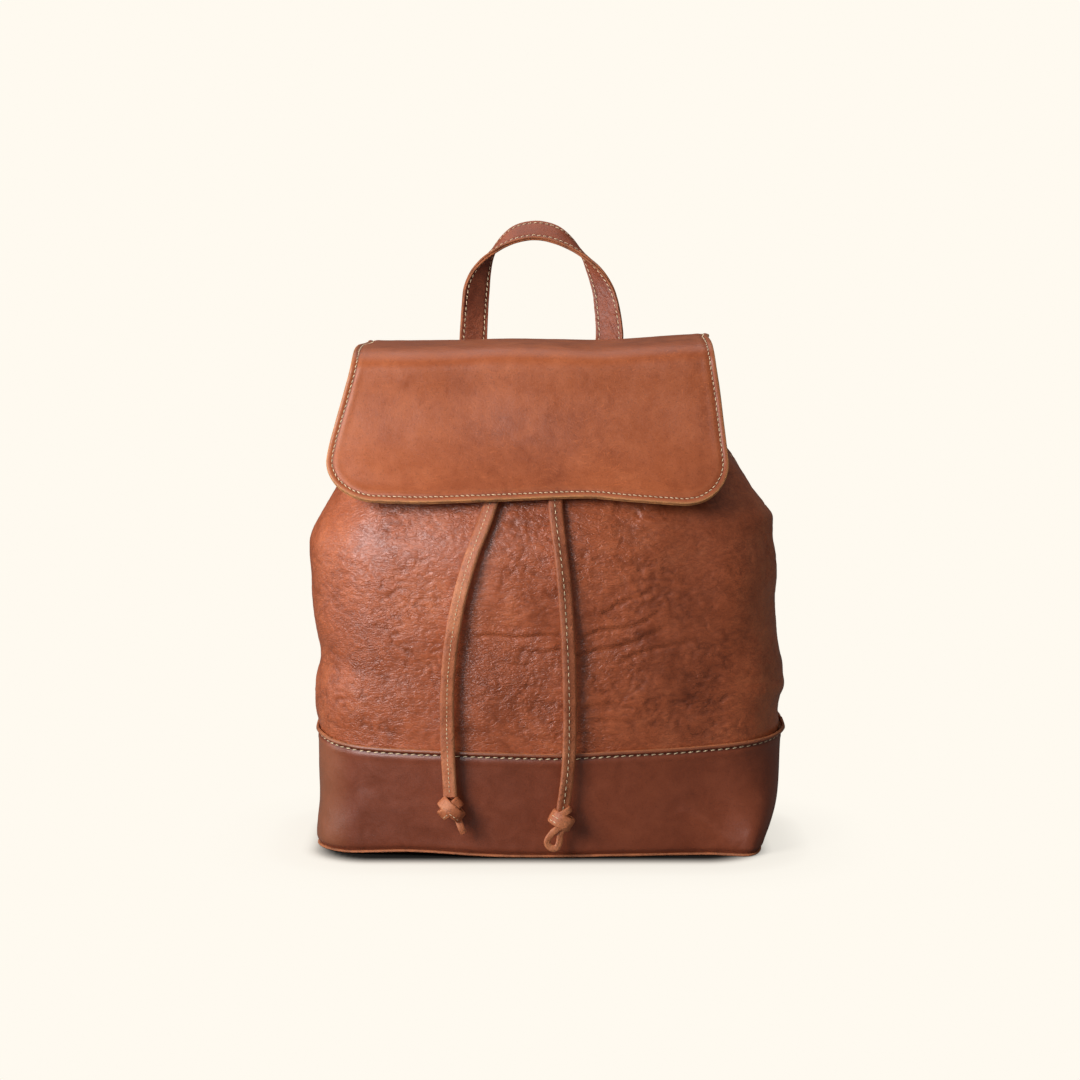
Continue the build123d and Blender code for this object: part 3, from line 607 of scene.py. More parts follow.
def flat_tube(points, across, out, section, wobble, seed):
    """A closed tube of a given section along a line, as verts and faces."""
    rings = swept(points, across, out, section)
    rings += out[:, None, :] * (perlin(rings, 6.0, seed) * wobble)[..., None]
    rings += across[:, None, :] * (perlin(rings, 14.0, seed + 1) * wobble)[..., None]
    return rings.reshape(-1, 3), capped(*rings.shape[:2])


def ring_band(centre, axis, rx, ry, width, thick):
    """A flat band wrapped round an upright oval: its verts and faces, its middle line and the way out from it."""
    front = unit(*(np.array(FORWARD) - axis * np.dot(FORWARD, axis)))
    side = np.cross(axis, front)
    angles = np.radians(np.linspace(0, 360, 40))
    c, s = np.cos(angles)[:, None], np.sin(angles)[:, None]
    points = np.asarray(centre) + (c * front * ry + s * side * rx)
    out = unit_rows(c * front / ry + s * side / rx)
    section = squared_oval(width / 2, thick / 2, 0.5, 0.6, 20)
    return flat_tube(points, np.broadcast_to(axis, points.shape), out, section, 0.25, 3.0), points, out


def blob(centre, radii, seed):
    """A lumpy oval, as verts and faces."""
    rows, columns = 18, 28
    lat = np.radians(np.linspace(-88, 88, rows))[:, None]
    lon = np.radians(np.arange(columns) * 360 / columns)[None, :]
    p = np.stack([np.cos(lat) * np.cos(lon), np.cos(lat) * np.sin(lon), np.sin(lat) * np.ones_like(lon)], axis=-1)
    p = p * np.asarray(radii) + centre
    p += (perlin(p, 4.0, seed) * 0.5)[..., None] * (p - centre) / max(radii)
    return p.reshape(-1, 3), capped(rows, columns)


def tail_band(points, face, width, thick, seed):
    """A short loose end of lace along a few points."""
    line = spline(points, 8)
    return flat_tube(line, *lace_frame(line, face), squared_oval(width / 2, thick / 2, 0.5, 1.0, 24), 0.35, seed)


FORWARD = (0.0, -1.0, 0.0)
# each knot: its centre from the lace's tip; its two bands, each (centre, axis, width and depth of the oval, width
# and thickness of the band); the blob inside them; the loose end; its two rows of stitches, each (band, which
# stretch of it, lift, shift along the axis)
KNOTS = {
    "left": {
        "centre": (0.0, -0.4, -7.6),
        "bands": [((0, 0, 0), (-0.62, 0, 0.78), 7.4, 4.4, 7.4, 2.3),
                  ((0.9, -0.6, -0.4), (0.68, 0, 0.73), 8.2, 5.2, 7.8, 2.3)],
        "blob": ((0, 0.6, -0.5), (5.6, 3.6, 5.8), 2.0),
        "end": ([(3.5, 0, -4.5), (5.6, -1.0, -9.0), (7.2, -1.4, -13.0), (8.6, -1.0, -16.4)],
                (0.4, -1, 0), 4.6, 2.0, 4.0),
        "sewn": [(1, slice(0, 9), 1.2, -2.0), (0, slice(32, 40), 1.2, -1.8)],
    },
    "right": {
        "centre": (-0.8, -0.4, -6.4),
        "bands": [((0, 0, 0), (0.50, 0, 0.86), 7.0, 4.8, 9.6, 2.4),
                  ((0.6, -0.2, 5.0), (-0.45, 0, 0.9), 5.8, 4.2, 4.2, 2.0)],
        "blob": ((0, 0.6, 0), (5.4, 3.6, 5.4), 3.0),
        "end": ([(-1.5, -0.5, -5.0), (-6.0, -1.4, -8.5), (-9.2, -1.6, -13.5), (-7.4, -1.4, -17.6),
                 (-3.4, -0.8, -18.4), (-1.2, 0.2, -14.6), (-0.6, 0.8, -9.6), (1.6, 0.6, -5.0)],
                (0.35, -1, 0.2), 4.4, 1.9, 6.0),
        "sewn": [(0, slice(32, 40), 1.25, 0.6), (0, slice(32, 40), 1.2, -2.6)],
    },
}
# each lace: its turn in degrees by height, its tone (a little painted light on the left lace, painted shade on the
# right), and its seam's groove, place across, and stitch pitch
LACES = {"left": ([(60, -4), (120, 6), (200, -12), (240, -20), (300, 0)], 0.06, 0.0, 0.2, 2.9),
         "right": ([(45, 30), (90, 18), (150, 14), (200, 20), (240, 10), (300, 0)], -0.28, 0.9, 0.9, 4.4)}


def build_knot(side, tip):
    knot, body = KNOTS[side], f"{side}_lace"
    centre = tip + knot["centre"]
    axes = [unit(*band[1]) for band in knot["bands"]]
    bands = [ring_band(centre + band[0], axis, *band[2:]) for band, axis in zip(knot["bands"], axes)]
    (shift, radii, seed), (points, *shape) = knot["blob"], knot["end"]
    tubes = [band[0] for band in bands]
    tubes += [blob(centre + shift, radii, seed), tail_band([centre + d for d in points], *shape)]
    pieces = [place(join_tubes(f"knot_{side}", tubes, [LACE_HIDE]), body, "lace_hide", f"lace_knot_{side}")]
    for i, (band, stretch, lift, shift) in enumerate(knot["sewn"]):
        line, out = (values[stretch] for values in bands[band][1:])
        line = line + out * lift + axes[band] * shift
        row = stitches(f"knot_stitches_{side}_{i}", line, out, 3.0, 2.2, 0.25, 6.0)
        pieces.append(place(row, body, "lace_hide"))
    return pieces


def build_laces():
    for side, sign in (("left", -1), ("right", 1)):
        turns, shade, groove_at, seam_at, pitch = LACES[side]
        points, _ = resample(spline_points(f"route_{side}", LACE_ROUTES[side]), 1.6)
        across, out = lace_frame(points, FORWARD, curve(points[:, 2], turns))
        section = lace_section()
        rings = swept(points, across, out, section)
        rings += out[:, None, :] * (perlin(rings, 7.0, 2.0 + sign) * 0.22)[..., None]
        pinch = 1 - 0.10 * np.abs(perlin(points, 30.0, 5.0 + sign))[:, None, None]
        rings = points[:, None, :] + (rings - points[:, None, :]) * pinch
        # painted shade in the seam's groove and a pale folded edge, on top of the painted tone given per lace
        groove = -0.7 * hump(section[:, 0], groove_at, 0.7) * (section[:, 1] > 0)
        edge = 0.55 * hump(section[:, 0], -TAIL_WIDTH / 2, 1.6)
        tone = np.broadcast_to(groove + edge + shade, rings.shape[:2])
        lace = make_mesh(f"lace_cord_{side}", rings.reshape(-1, 3), capped(*rings.shape[:2]), [LACE_HIDE], None,
                         tone)
        seam = points + across * seam_at + out * (TAIL_THICK / 2)
        row = stitches(f"lace_stitches_{side}", seam, out, pitch, pitch * 0.66, 0.24, 4.0, 0.08)
        bend([lace, row])
        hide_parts(f"lace_{side}_hidden", f"lace_{side}")
        pieces = build_knot(side, points[-1])


build_laces()


# ---------------------------------------------------------------- the body's wall
BACK, CROWN_RADIUS, SIDE_SEAM_Y = 65.0, 600.0, 8.0
RIM_Z, EYELET_Z, MOUTH_DEPTH = 318.0, 305.0, 30.0
HIDE_THICK = 1.8
# height, half width, front depth, front corner radius, back corner radius
STATIONS = [
    (0.0, 141.0, 64.0, 34.0, 26.0), (35.0, 145.0, 66.0, 38.0, 26.0), (75.0, 149.0, 69.0, 42.0, 26.0),
    (120.0, 152.0, 72.0, 46.0, 26.0), (170.0, 153.0, 73.0, 48.0, 26.0), (208.0, 152.0, 69.2, 48.0, 26.0),
    (230.0, 143.0, 62.5, 46.0, 26.0), (250.0, 130.0, 53.0, 42.0, 25.0), (270.0, 117.0, 42.0, 38.0, 24.0),
    (292.0, 98.0, 30.0, 34.0, 24.0), (330.0, 98.0, 30.0, 34.0, 24.0),
]
# how far the soft left and right sides stand from the middle, by height
LEFT_SIDE = [(0, 144.2), (8, 145.0), (17, 144.4), (33, 143.0), (50, 143.2), (66, 143.4), (75, 143.6),
             (82, 145.2), (91, 147.2), (99, 147.8), (107, 147.6), (115, 146.2), (123, 143.8), (131, 143.4),
             (140, 145.2), (148, 146.6), (164, 148.4), (180, 149.6), (196, 150.8), (205, 150.2), (212, 147.8),
             (220, 143.4), (230, 138.0), (250, 126.5), (270, 115.0), (292, 98.0), (330, 98.0)]
RIGHT_SIDE = [(0, 146.5), (8, 149.0), (17, 152.5), (33, 156.8), (50, 158.6), (66, 159.6), (75, 160.2),
              (82, 161.2), (91, 160.6), (99, 161.6), (107, 164.2), (115, 163.2), (123, 162.6), (131, 160.8),
              (148, 159.0), (164, 157.8), (180, 158.8), (196, 157.8), (205, 156.2), (214, 156.2), (220, 156.0),
              (228, 150.0), (236, 143.8), (244, 139.2), (252, 134.0), (270, 118.4), (292, 98.0), (330, 98.0)]
# where each stretch of the right half of the outline ends: crown, front corner, side to the seam, side, back corner
BREAKS = [0.0, 0.265, 0.424, 0.506, 0.583, 0.685, 1.0]
SEAM_Q = BREAKS[3]
SQUARE_CORNER = 20.0           # how far the base's right front corner stands forward


def station(z):
    """Half width, front depth, front and back corner radius at a height."""
    return (curve(z, [(s[0], s[k]) for s in STATIONS]) for k in (1, 2, 3, 4))


def wall(q, z, grow=0.0):
    """Points of the body's wall: q runs from 0 at the middle of the front to 1 or -1 at the middle of the back."""
    q, z = np.broadcast_arrays(np.asarray(q, float), np.asarray(z, float))
    a = np.abs(q)
    half, front, r_front, r_back = station(z)
    cx, crown_y = half - r_front, CROWN_RADIUS - front
    cy = crown_y - np.sqrt((CROWN_RADIUS - r_front) ** 2 - cx**2)
    lean = np.arctan2(crown_y - cy, cx)
    bx, by = half - r_back, BACK - r_back
    t = [np.clip((a - low) / (high - low), 0, 1) for low, high in zip(BREAKS, BREAKS[1:])]
    swing = -math.pi / 2 + (math.pi / 2 - lean) * t[0]
    corner = -lean * (1 - t[1])
    rear = math.pi / 2 * t[4]
    xs = [(CROWN_RADIUS + grow) * np.cos(swing), cx + (r_front + grow) * np.cos(corner), half + grow, half + grow,
          bx + (r_back + grow) * np.cos(rear), bx * (1 - t[5])]
    ys = [crown_y + (CROWN_RADIUS + grow) * np.sin(swing), cy + (r_front + grow) * np.sin(corner),
          cy + (SIDE_SEAM_Y - cy) * t[2], SIDE_SEAM_Y + (by - SIDE_SEAM_Y) * t[3],
          by + (r_back + grow) * np.sin(rear), BACK + grow + 0 * a]
    where = [a < BREAKS[1], a < BREAKS[2], a < BREAKS[3], a < BREAKS[4], a < BREAKS[5]]
    x, y = np.select(where, xs[:5], xs[5]), np.select(where, ys[:5], ys[5])
    stretch = np.where(q < 0, curve(z, LEFT_SIDE), curve(z, RIGHT_SIDE)) / half
    wide = 1 + (stretch - 1) * smooth(0.25, 0.95, x / half)
    y = y - SQUARE_CORNER * smooth(70, 0, z) * hump(q, 0.365, 0.075)
    return np.stack([x * wide * np.sign(np.where(q < 0, -1, 1)), y, z], axis=-1)


def creases(P, lines):
    """Sharp folds pressed into the front: each line is its points (x, z), its depth and its width."""
    x, z = P[..., 0], P[..., 2]
    total = np.zeros(x.shape)
    for points, depth, width in lines:
        path = spline(points, 6)
        near, side, along = np.full(x.shape, 1e9), np.zeros(x.shape), np.zeros(x.shape)
        for k, ((ax, az), (bx, bz)) in enumerate(zip(path, path[1:])):
            length = math.hypot(bx - ax, bz - az)
            ux, uz = (bx - ax) / length, (bz - az) / length
            t = np.clip(((x - ax) * ux + (z - az) * uz), 0, length)
            d = np.hypot(x - ax - ux * t, z - az - uz * t)
            s = (z - az) * ux - (x - ax) * uz
            better = d < near
            near, side = np.where(better, d, near), np.where(better, s, side)
            along = np.where(better, (k + t / length) / (len(path) - 1), along)
        fade = np.clip(np.sin(math.pi * np.clip(along, 0, 1)), 0, 1) ** 0.5
        ridge = 0.55 * hump(side, 1.9 * width, 1.5 * width) * (near < 5 * width)
        total += fade * depth * (-hump(near, 0.0, width) + ridge)
    return total


FRONT_FOLDS = [
    ([(-44, 146), (-30, 147.5), (-12, 146), (6, 147.5), (16, 146)], 0.8, 1.3),
    ([(14, 128), (34, 136), (58, 141), (84, 152)], 0.9, 1.8),
    ([(20, 142), (40, 150), (62, 153), (80, 162)], 0.7, 1.5),
    ([(40, 160), (58, 170), (80, 176)], 0.6, 1.6),
    ([(52, 128), (70, 136), (100, 142)], 0.7, 1.8),
    ([(-18, 139), (4, 136), (20, 139)], 0.6, 1.4),
    ([(-30, 132), (-14, 128), (2, 130)], 0.5, 1.4),
    ([(22, 96), (36, 101), (54, 102)], 0.6, 1.5),
    ([(28, 88), (44, 91), (60, 90)], 0.4, 1.4),
    ([(-62, 148), (-50, 140), (-44, 130)], 0.5, 1.5),
    ([(-96, 176), (-84, 168), (-80, 156)], 0.5, 1.6),
    ([(-118, 196), (-108, 184), (-106, 172)], 0.5, 1.8),
    ([(62, 210), (76, 216), (96, 214)], 0.6, 1.8),
    ([(-20, 222), (0, 217), (22, 221), (40, 217)], 0.6, 1.7),
    ([(-14, 210), (6, 207), (26, 211)], 0.5, 1.6),
    ([(-104, 222), (-92, 226), (-86, 219), (-94, 214), (-102, 218)], 0.5, 1.3),
    ([(46, 226), (58, 229), (66, 224), (60, 219), (50, 220)], 0.45, 1.2),
]
BACK_FOLDS = [
    ([(-90, 180), (-60, 172), (-30, 176)], 0.8, 2.4), ([(30, 150), (60, 158), (100, 154)], 0.8, 2.6),
    ([(-110, 110), (-80, 104), (-50, 108)], 0.7, 2.4), ([(-20, 214), (10, 208), (44, 212)], 0.7, 2.2),
    ([(60, 100), (84, 96), (112, 102)], 0.6, 2.4),
]


def eyelet_places():
    """Centre and outward axis of each eyelet on the wall at the mouth."""
    half, front, _, _ = station(EYELET_Z)
    crown_y = CROWN_RADIUS - front
    places = []
    for x in (16.0, 60.0):
        lean = math.asin(x / CROWN_RADIUS)
        places.append(((x, crown_y - CROWN_RADIUS * math.cos(lean), EYELET_Z),
                       (math.sin(lean), -math.cos(lean), 0.0)))
    places += [((half, y, EYELET_Z), (1.0, 0.0, 0.0)) for y in (16.5, 33.5)]
    places += [((x, BACK, EYELET_Z), (0.0, 1.0, 0.0)) for x in (56.0, 20.0)]
    return places + [((-p[0], p[1], p[2]), (-n[0], n[1], n[2])) for p, n in places]


EYELETS = eyelet_places()


def near_eyelet(points):
    return np.min([np.linalg.norm(points - np.array(p), axis=-1) for p, _ in EYELETS], axis=0)


def soft_wall(q, z, front):
    """The wall as the hide really lies: billows, gathers at the mouth, crepe creases and pressed folds."""
    P = wall(q, z)
    N = normals_of(P)
    Z = P[..., 2]
    calm = smooth(66, 100, Z) * (1 - smooth(286, 300, Z))
    lump = 1.5 * perlin(P, 62.0, 1) + 0.8 * perlin(P, 30.0, 2)
    lump = np.where(lump > 0, 0.8 * lump, 1.25 * lump)
    gathers = smooth(222, 288, Z) * (1 - smooth(296, 304, Z) * hump(near_eyelet(P), 0, 13))
    around = distances(P[-1])
    pleat = np.sin(around / 23.0 * 2 * math.pi + 1.5 * perlin(P, 60.0, 9)) * gathers * 1.3
    warp = np.stack([perlin(P, 17.0, 11), perlin(P, 17.0, 12), perlin(P, 17.0, 13)], axis=-1) * 5.0
    squeezed = (P + warp) * np.array([0.75, 1.0, 1.25])
    thin = hump(perlin(squeezed, 7.0, 21), 0.0, 0.13) * smooth(-0.35, 0.3, perlin(P, 13.0, 22))
    second = hump(perlin(squeezed, 5.2, 23), 0.0, 0.16) * smooth(-0.3, 0.35, perlin(P, 10.0, 24))
    where = 0.35 + 0.65 * smooth(-0.3, 0.35, perlin(P, 55.0, 31) - 0.35 * smooth(40, 150, P[..., 0]))
    crepe = (-0.52 * thin - 0.36 * second + 0.24 * perlin(squeezed, 4.6, 25)) * where * smooth(70, 84, Z)
    pressed = creases(P, FRONT_FOLDS if front else BACK_FOLDS)
    move = calm * lump + pleat + crepe + pressed * (1.0 if front else 0.8)
    move = np.clip(move, -6.0, 2.2)
    rim = 1 - hump(RIM_Z - Z, 0.0, 1.5) * 0.3
    return P + N * (move * rim)[..., None], N, crepe


def spaced(start, stop, step, dense=(0.0, 0.6, 1.3, 2.2, 3.4, 5.0)):
    """Even places along a stretch with closer ones at both ends."""
    inner = np.arange(start + dense[-1] + step, stop - dense[-1] - step * 0.5, step)
    return np.concatenate([start + np.array(dense), inner, stop - np.array(dense[::-1])])


def hide_columns(front, step):
    """The q of each column of the front or back hide, close together beside the side seams."""
    q_all = np.linspace(0, 1, 2001)
    gone = distances(wall(q_all, 150.0))
    at_seam = np.interp(SEAM_Q, q_all, gone)
    if front:
        s = spaced(-at_seam, at_seam, step)
        return np.sign(s) * np.interp(np.abs(s), gone, q_all)
    total = gone[-1]
    s = spaced(at_seam, 2 * total - at_seam, step)
    q = np.interp(np.where(s <= total, s, 2 * total - s), gone, q_all)
    return np.where(s <= total, q, -q)


def seam_dip(q, depth, width=2.2):
    """How far a hide turns in where it meets the other at a side seam."""
    side = wall(q, 150.0)
    distance = np.abs(side[:, 1] - SIDE_SEAM_Y) + 100.0 * (np.abs(side[:, 0]) < 120)
    return depth * hump(distance, 0.0, width)


def build_hides():
    for front in (True, False):
        step = 1.15 if front else 2.0
        q = hide_columns(front, step)
        z = np.concatenate([np.arange(62.0, RIM_Z - 2.0, step), [RIM_Z - 1.2, RIM_Z - 0.5, RIM_Z]])
        P, N, crepe = soft_wall(q[None, :], z[:, None], front)
        P -= N * seam_dip(q, 1.5)[None, :, None]
        # painted shade and light: darker in the crepe's creases and the side seams' dip, a little paler on the
        # crepe's lumps; painted shade across the right part, and a paler painted sheen at the right edge
        tone = np.clip(crepe * 0.9, -0.35, 0.12) - 0.5 * seam_dip(q, 1.0, 1.0)[None, :]
        tone += 0.22 * smooth(132.0, 150.0, P[..., 0]) - 0.36 * hump(P[..., 0], 97.0, 36.0)
        end = "front" if front else "back"
        hide = slab(f"body_hide_{end}", P, HIDE_THICK, [BODY_HIDE, EDGE, FLESH], tone,
                    holes=lambda c: near_eyelet(c) < 6.2)
        place(hide, "bag", "body_hide", f"body_{end}")
        if front:
            sewn = (z > 84) & (z < 312)
            for side, column in (("left", 5), ("right", -6)):
                row = stitches(f"side_stitches_{side}", P[sewn, column], N[sewn, column], 4.6, 3.0, 0.36, 6.0)
                place(row, "bag", "body_hide")


# ---------------------------------------------------------------- base band and sole
BAND_SEAM = [(-1.0, 72.5), (-0.62, 77.5), (-0.48, 80.0), (-0.40, 78.4), (-0.33, 74.8), (-0.25, 72.2),
             (-0.17, 71.4), (-0.07, 70.4), (0.04, 69.5), (0.12, 70.9), (0.20, 72.2), (0.30, 75.2), (0.36, 77.4),
             (0.42, 79.8), (0.48, 80.5), (0.62, 78.0), (1.0, 72.5)]
STITCH_BELOW = 3.1            # from the band's edge to its stitches
LIP_DEEP, BAND_LONG = 9.0, 70.0   # depth below the edge that isn't stretched, and down to the sole
BAND_FOLDS = [([(94, 34), (112, 22), (132, 7)], -1.5, 5.0), ([(-132, 8), (-118, 26), (-112, 44)], -0.9, 7.0)]
SOLE_LIFT = [(-150, 0.0), (-125, 0.2), (-105, 1.4), (-88, 2.4), (-72, 2.4), (-58, 1.8), (-42, 0.9), (-25, 0.4),
             (60, 0.3), (90, 0.0), (150, 0.0)]


def sole_lift(q):
    """How far the soft base stands off the floor round its edge."""
    x = wall(q, 2.0)[..., 0]
    return smooth(0.46, 0.34, np.abs(q)) * curve(x, SOLE_LIFT)


def band_surface(q, below):
    """A point of the base band, below its top edge, and the outward direction there."""
    top = curve(q, BAND_SEAM)[None, :] + 0 * below
    floor = 1.8 + sole_lift(q)[None, :]
    share = (below - LIP_DEEP) / (BAND_LONG - LIP_DEEP)
    z = np.where(below < LIP_DEEP, top - below, top - LIP_DEEP - share * (top - LIP_DEEP - floor))
    P = wall(q[None, :] + 0 * below, z, 2.1)
    N = normals_of(P[::-1])[::-1]
    lip = 0.9 * hump(below, 1.1, 1.3) - 0.75 * hump(below, STITCH_BELOW, 1.0) + 0.25 * hump(below, 6.6, 1.4)
    flare = smooth(126, 156, P[..., 0]) * smooth(6, 0, below) * 1.4
    slump = 0.9 * perlin(P, 70.0, 41) * smooth(6, 26, below) * smooth(70, 60, below)
    fine = 0.10 * perlin(P, 9.0, 43)
    ridge = creases(P, BAND_FOLDS) * (smooth(5, 14, below) * (P[..., 1] < 0))
    tuck = -1.3 * smooth(66.5, 70.0, below)
    return P + N * (lip + flare + slump + fine + ridge + tuck)[..., None], N


def build_band():
    dense = [0, 0.3, 0.6, 1.0, 1.5, 2.0, 2.4, 2.8, 3.1, 3.4, 3.8, 4.3, 4.9, 5.7, 6.8, 8.0]
    below = np.array(dense + list(np.arange(9.6, 66.0, 1.9)) + [66.5, 67.4, 68.2, 68.9, 69.5, 70.0])[:, None]
    for front in (True, False):
        q = hide_columns(front, 1.8)
        P, N = band_surface(q, below)
        P -= N * seam_dip(q, 1.4)[None, :, None]
        # pale along the cut top edge; painted shade in the stitch groove and where the band tucks in above the sole;
        # a paler painted sheen at the left end
        tone = (0.2 * hump(below, 0.6, 1.5) - 0.8 * hump(below, STITCH_BELOW, 1.1)
                - 0.5 * smooth(67.0, 70.0, below))
        tone = tone + 0.24 * smooth(-112.0, -142.0, P[..., 0])
        end = "front" if front else "back"
        band = slab(f"base_band_hide_{end}", P[::-1], HIDE_THICK, [BAND_HIDE, DYED_EDGE, FLESH], tone[::-1],
                    N=N[::-1], edge_tone=0.2)
        place(band, "bag", "band_hide", f"base_band_{end}")
        row = dense.index(STITCH_BELOW)
        sewn = stitches(f"band_stitches_{end}", P[row], N[row], 4.9, 3.5, 0.34, 12.0, 0.0)
        place(sewn, "bag", "band_hide")


# height of each ring of the sole by how far it stands out from the wall, from its top round its edge
SOLE_RINGS = [(-40, 1.6), (-20, 1.6), (-3, 1.7), (1.4, 1.7), (1.9, 1.5), (2.2, 1.1), (2.2, 0.7), (1.9, 0.35),
              (1.4, 0.15), (-6, 0.0), (-20, 0.0), (-40, 0.0)]
SOLE_EDGE_ROWS = range(3, 8)


def build_sole():
    q = np.linspace(-1, 1, 420)[:-1]
    lift = sole_lift(q)
    wave = 0.25 * perlin(wall(q, 0.0), 24.0, 51)
    rings = []
    for grow, z in SOLE_RINGS:
        ring = wall(q, 0.0, max(grow, -24))
        if grow < -24:
            ring[:, :2] *= np.array([0.86, 0.72])
        ring[:, 2] = z + (lift + wave * (0 < z < 1.7)) * smooth(-24, 0, grow)
        rings.append(ring)
    P = np.array(rings)
    n, m = P.shape[:2]
    index = [1 if i // m in SOLE_EDGE_ROWS else 2 for i in range((n - 1) * m)] + [2, 2]
    faces = [face[::-1] for face in capped(n, m)]
    sole = make_mesh("sole_leather", P.reshape(-1, 3), faces, [STRAP_HIDE, SOLE_EDGE, FLESH], index)
    place(sole, "bag", "sole_hide", "sole")


# ---------------------------------------------------------------- flap
# the flap's outer face in (y, z), from its sewn edge up the back, over the mouth and down the front
FLAP_PATH = [(68.4, 246), (68.4, 258), (68.4, 272), (68.5, 284), (69.6, 292), (71.8, 299), (72.3, 307),
             (72.3, 316), (72.0, 323.4), (69.6, 329), (63.5, 332.2), (50, 333.0), (30, 333.4), (10, 333.2),
             (-10, 332.8), (-24, 332.0), (-35, 330.0), (-42.4, 326.2), (-46.2, 320.5), (-47.2, 313),
             (-47.6, 300), (-49.4, 286), (-53.2, 272), (-58.2, 260), (-64.0, 249), (-69.6, 240.5), (-75.0, 233.4)]
CROWN_SPLIT = 13.0
FLAP_LEFT = [(232, 136.2), (244, 136.0), (250, 135.8), (256, 135.2), (265, 133.8), (281, 130.0), (303, 124.2),
             (318, 120.4), (325, 119.2), (336, 118.2)]
FLAP_RIGHT = [(232, 124.2), (249, 123.4), (260, 122.8), (269, 121.8), (281, 120.4), (303, 117.6), (318, 115.0),
              (325, 114.0), (336, 112.2)]
FLAP_CORNER = 31.0
# how much shorter the flap is along its bottom edge, by x
FLAP_SHORT = [(-137, 5.0), (-118, 5.0), (-104, 3.8), (-88, 2.7), (-72, 2.0), (-45, 3.0), (-14, 4.2), (15, 5.7),
              (34, 6.0), (59, 3.6), (80, 2.0), (94, 1.4), (111, 1.0), (125, 0.9)]
CREST_RISE = [(-116, -2.2), (-91, -2.0), (-51, -1.2), (-25, 0.0), (15, -0.5), (42, -1.2), (68, 0.6), (95, 2.6),
              (115, 3.6)]


FLAP_HALF = 115.0             # half the flap's width over the mouth
FLAP_LINE, FLAP_GONE = resample(spline([(0.0, y, z) for y, z in FLAP_PATH], 16), 0.5)
FLAP_LONG = FLAP_GONE[-1]
FLAP_STRAIGHT = FLAP_LONG - FLAP_CORNER
FLAP_STITCH_IN, FLAP_STITCH_FROM = 3.1, 20.0
FLAP_SPLIT_V = float(np.interp(0, -(FLAP_LINE[:, 1] - CROWN_SPLIT), FLAP_GONE))
FLAP_THICK, FLAP_LINING_THICK = 2.1, 1.5


def flap_sides(v):
    """How far the flap reaches to its left and right at v, and how much its rounded corners take off that."""
    front = smooth(125, 152, v)
    z = np.interp(v, FLAP_GONE, FLAP_LINE[:, 2])
    left, right = (FLAP_HALF + (curve(z, table) - FLAP_HALF) * front for table in (FLAP_LEFT, FLAP_RIGHT))
    into = np.clip((v - FLAP_STRAIGHT) / FLAP_CORNER, 0, 1)
    return left, right, FLAP_CORNER * (1 - np.sqrt(np.clip(1 - into**2, 0, 1)))


def flap_sheet(v, u):
    """The flap's outer face, the outward direction and the way in from the edge.

    v is the distance along the flap, u runs from -1 to 1 across.
    """
    wide_left, wide_right, pull = flap_sides(v)
    left, right = wide_left - pull, wide_right - pull
    x = np.where(u < 0, u * left, u * right)
    gone = v - curve(x, FLAP_SHORT) * smooth(FLAP_LONG - 75, FLAP_LONG, v)
    y, z = (np.interp(gone, FLAP_GONE, FLAP_LINE[:, k]) for k in (1, 2))
    z = z + curve(x, CREST_RISE) * (smooth(80, 105, v) * (1 - smooth(190, 240, v)))
    P = np.stack([x, y, z], axis=-1)
    N = -normals_of(P)
    edge = np.minimum(np.minimum(left + x, right - x), FLAP_LONG - v)
    corner_x = np.abs(x) - (np.where(x < 0, wide_left, wide_right) - FLAP_CORNER)
    corner_v = v - FLAP_STRAIGHT
    rounded = FLAP_CORNER - np.hypot(np.maximum(corner_x, 0), np.maximum(corner_v, 0))
    edge = np.where((corner_x > 0) & (corner_v > 0), rounded, edge)
    swell = 1.5 * perlin(P, 95.0, 61) + 0.5 * perlin(P, 42.0, 62)
    swell *= smooth(8, 50, edge) * smooth(170, 215, v)
    swell += 0.08 * perlin(P, 7.0, 63)
    rim = -0.45 * hump(edge, FLAP_STITCH_IN, 0.9) + 0.2 * hump(edge, 1.2, 0.9) + 0.2 * hump(edge, 6.4, 1.6)
    rim *= smooth(FLAP_STITCH_FROM - 4, FLAP_STITCH_FROM + 4, v)
    curl = -1.6 * smooth(26, 0, edge) * smooth(245, 290, v) * smooth(60, 110, np.abs(x))
    return P + N * (swell + rim + curl)[..., None], N, edge


def sample_grid(grid, rows, columns, r, c):
    """Values of a grid of points read between its rows and columns, at fractional row and column places."""
    i = np.clip(np.searchsorted(rows, r) - 1, 0, len(rows) - 2)
    j = np.clip(np.searchsorted(columns, c) - 1, 0, len(columns) - 2)
    s = np.clip((r - rows[i]) / (rows[i + 1] - rows[i]), 0, 1)[:, None]
    t = np.clip((c - columns[j]) / (columns[j + 1] - columns[j]), 0, 1)[:, None]
    low = grid[i, j] * (1 - s) * (1 - t) + grid[i + 1, j] * s * (1 - t)
    return low + grid[i, j + 1] * (1 - s) * t + grid[i + 1, j + 1] * s * t


def flap_rows(v0, v1, step=1.7):
    """Distances along the flap for the rows of one of its two pieces."""
    if v1 < FLAP_LONG - 1:
        count = int((v1 - v0) / step)
        return np.arange(0, count + 1) * ((v1 - v0) / count) + v0
    turn = np.radians(np.linspace(0, 90, 30))
    return np.concatenate([np.arange(v0, FLAP_STRAIGHT, step), FLAP_STRAIGHT + FLAP_CORNER * np.sin(turn)])


# each half of the flap: where it runs, the bodies it joins, where it bends, and the CAD nodes it stands for
FLAP_HALVES = {
    "back": (0.0, FLAP_SPLIT_V, ("bag", "flap_top"), (0, 72.3, 315), (0, 62, 332.5), ("flap_root", "flap_crown")),
    "front": (FLAP_SPLIT_V, FLAP_LONG, ("flap_top", "flap_front"), (0, -31, 331.5), (0, -47.4, 304), ("flap_face",)),
}


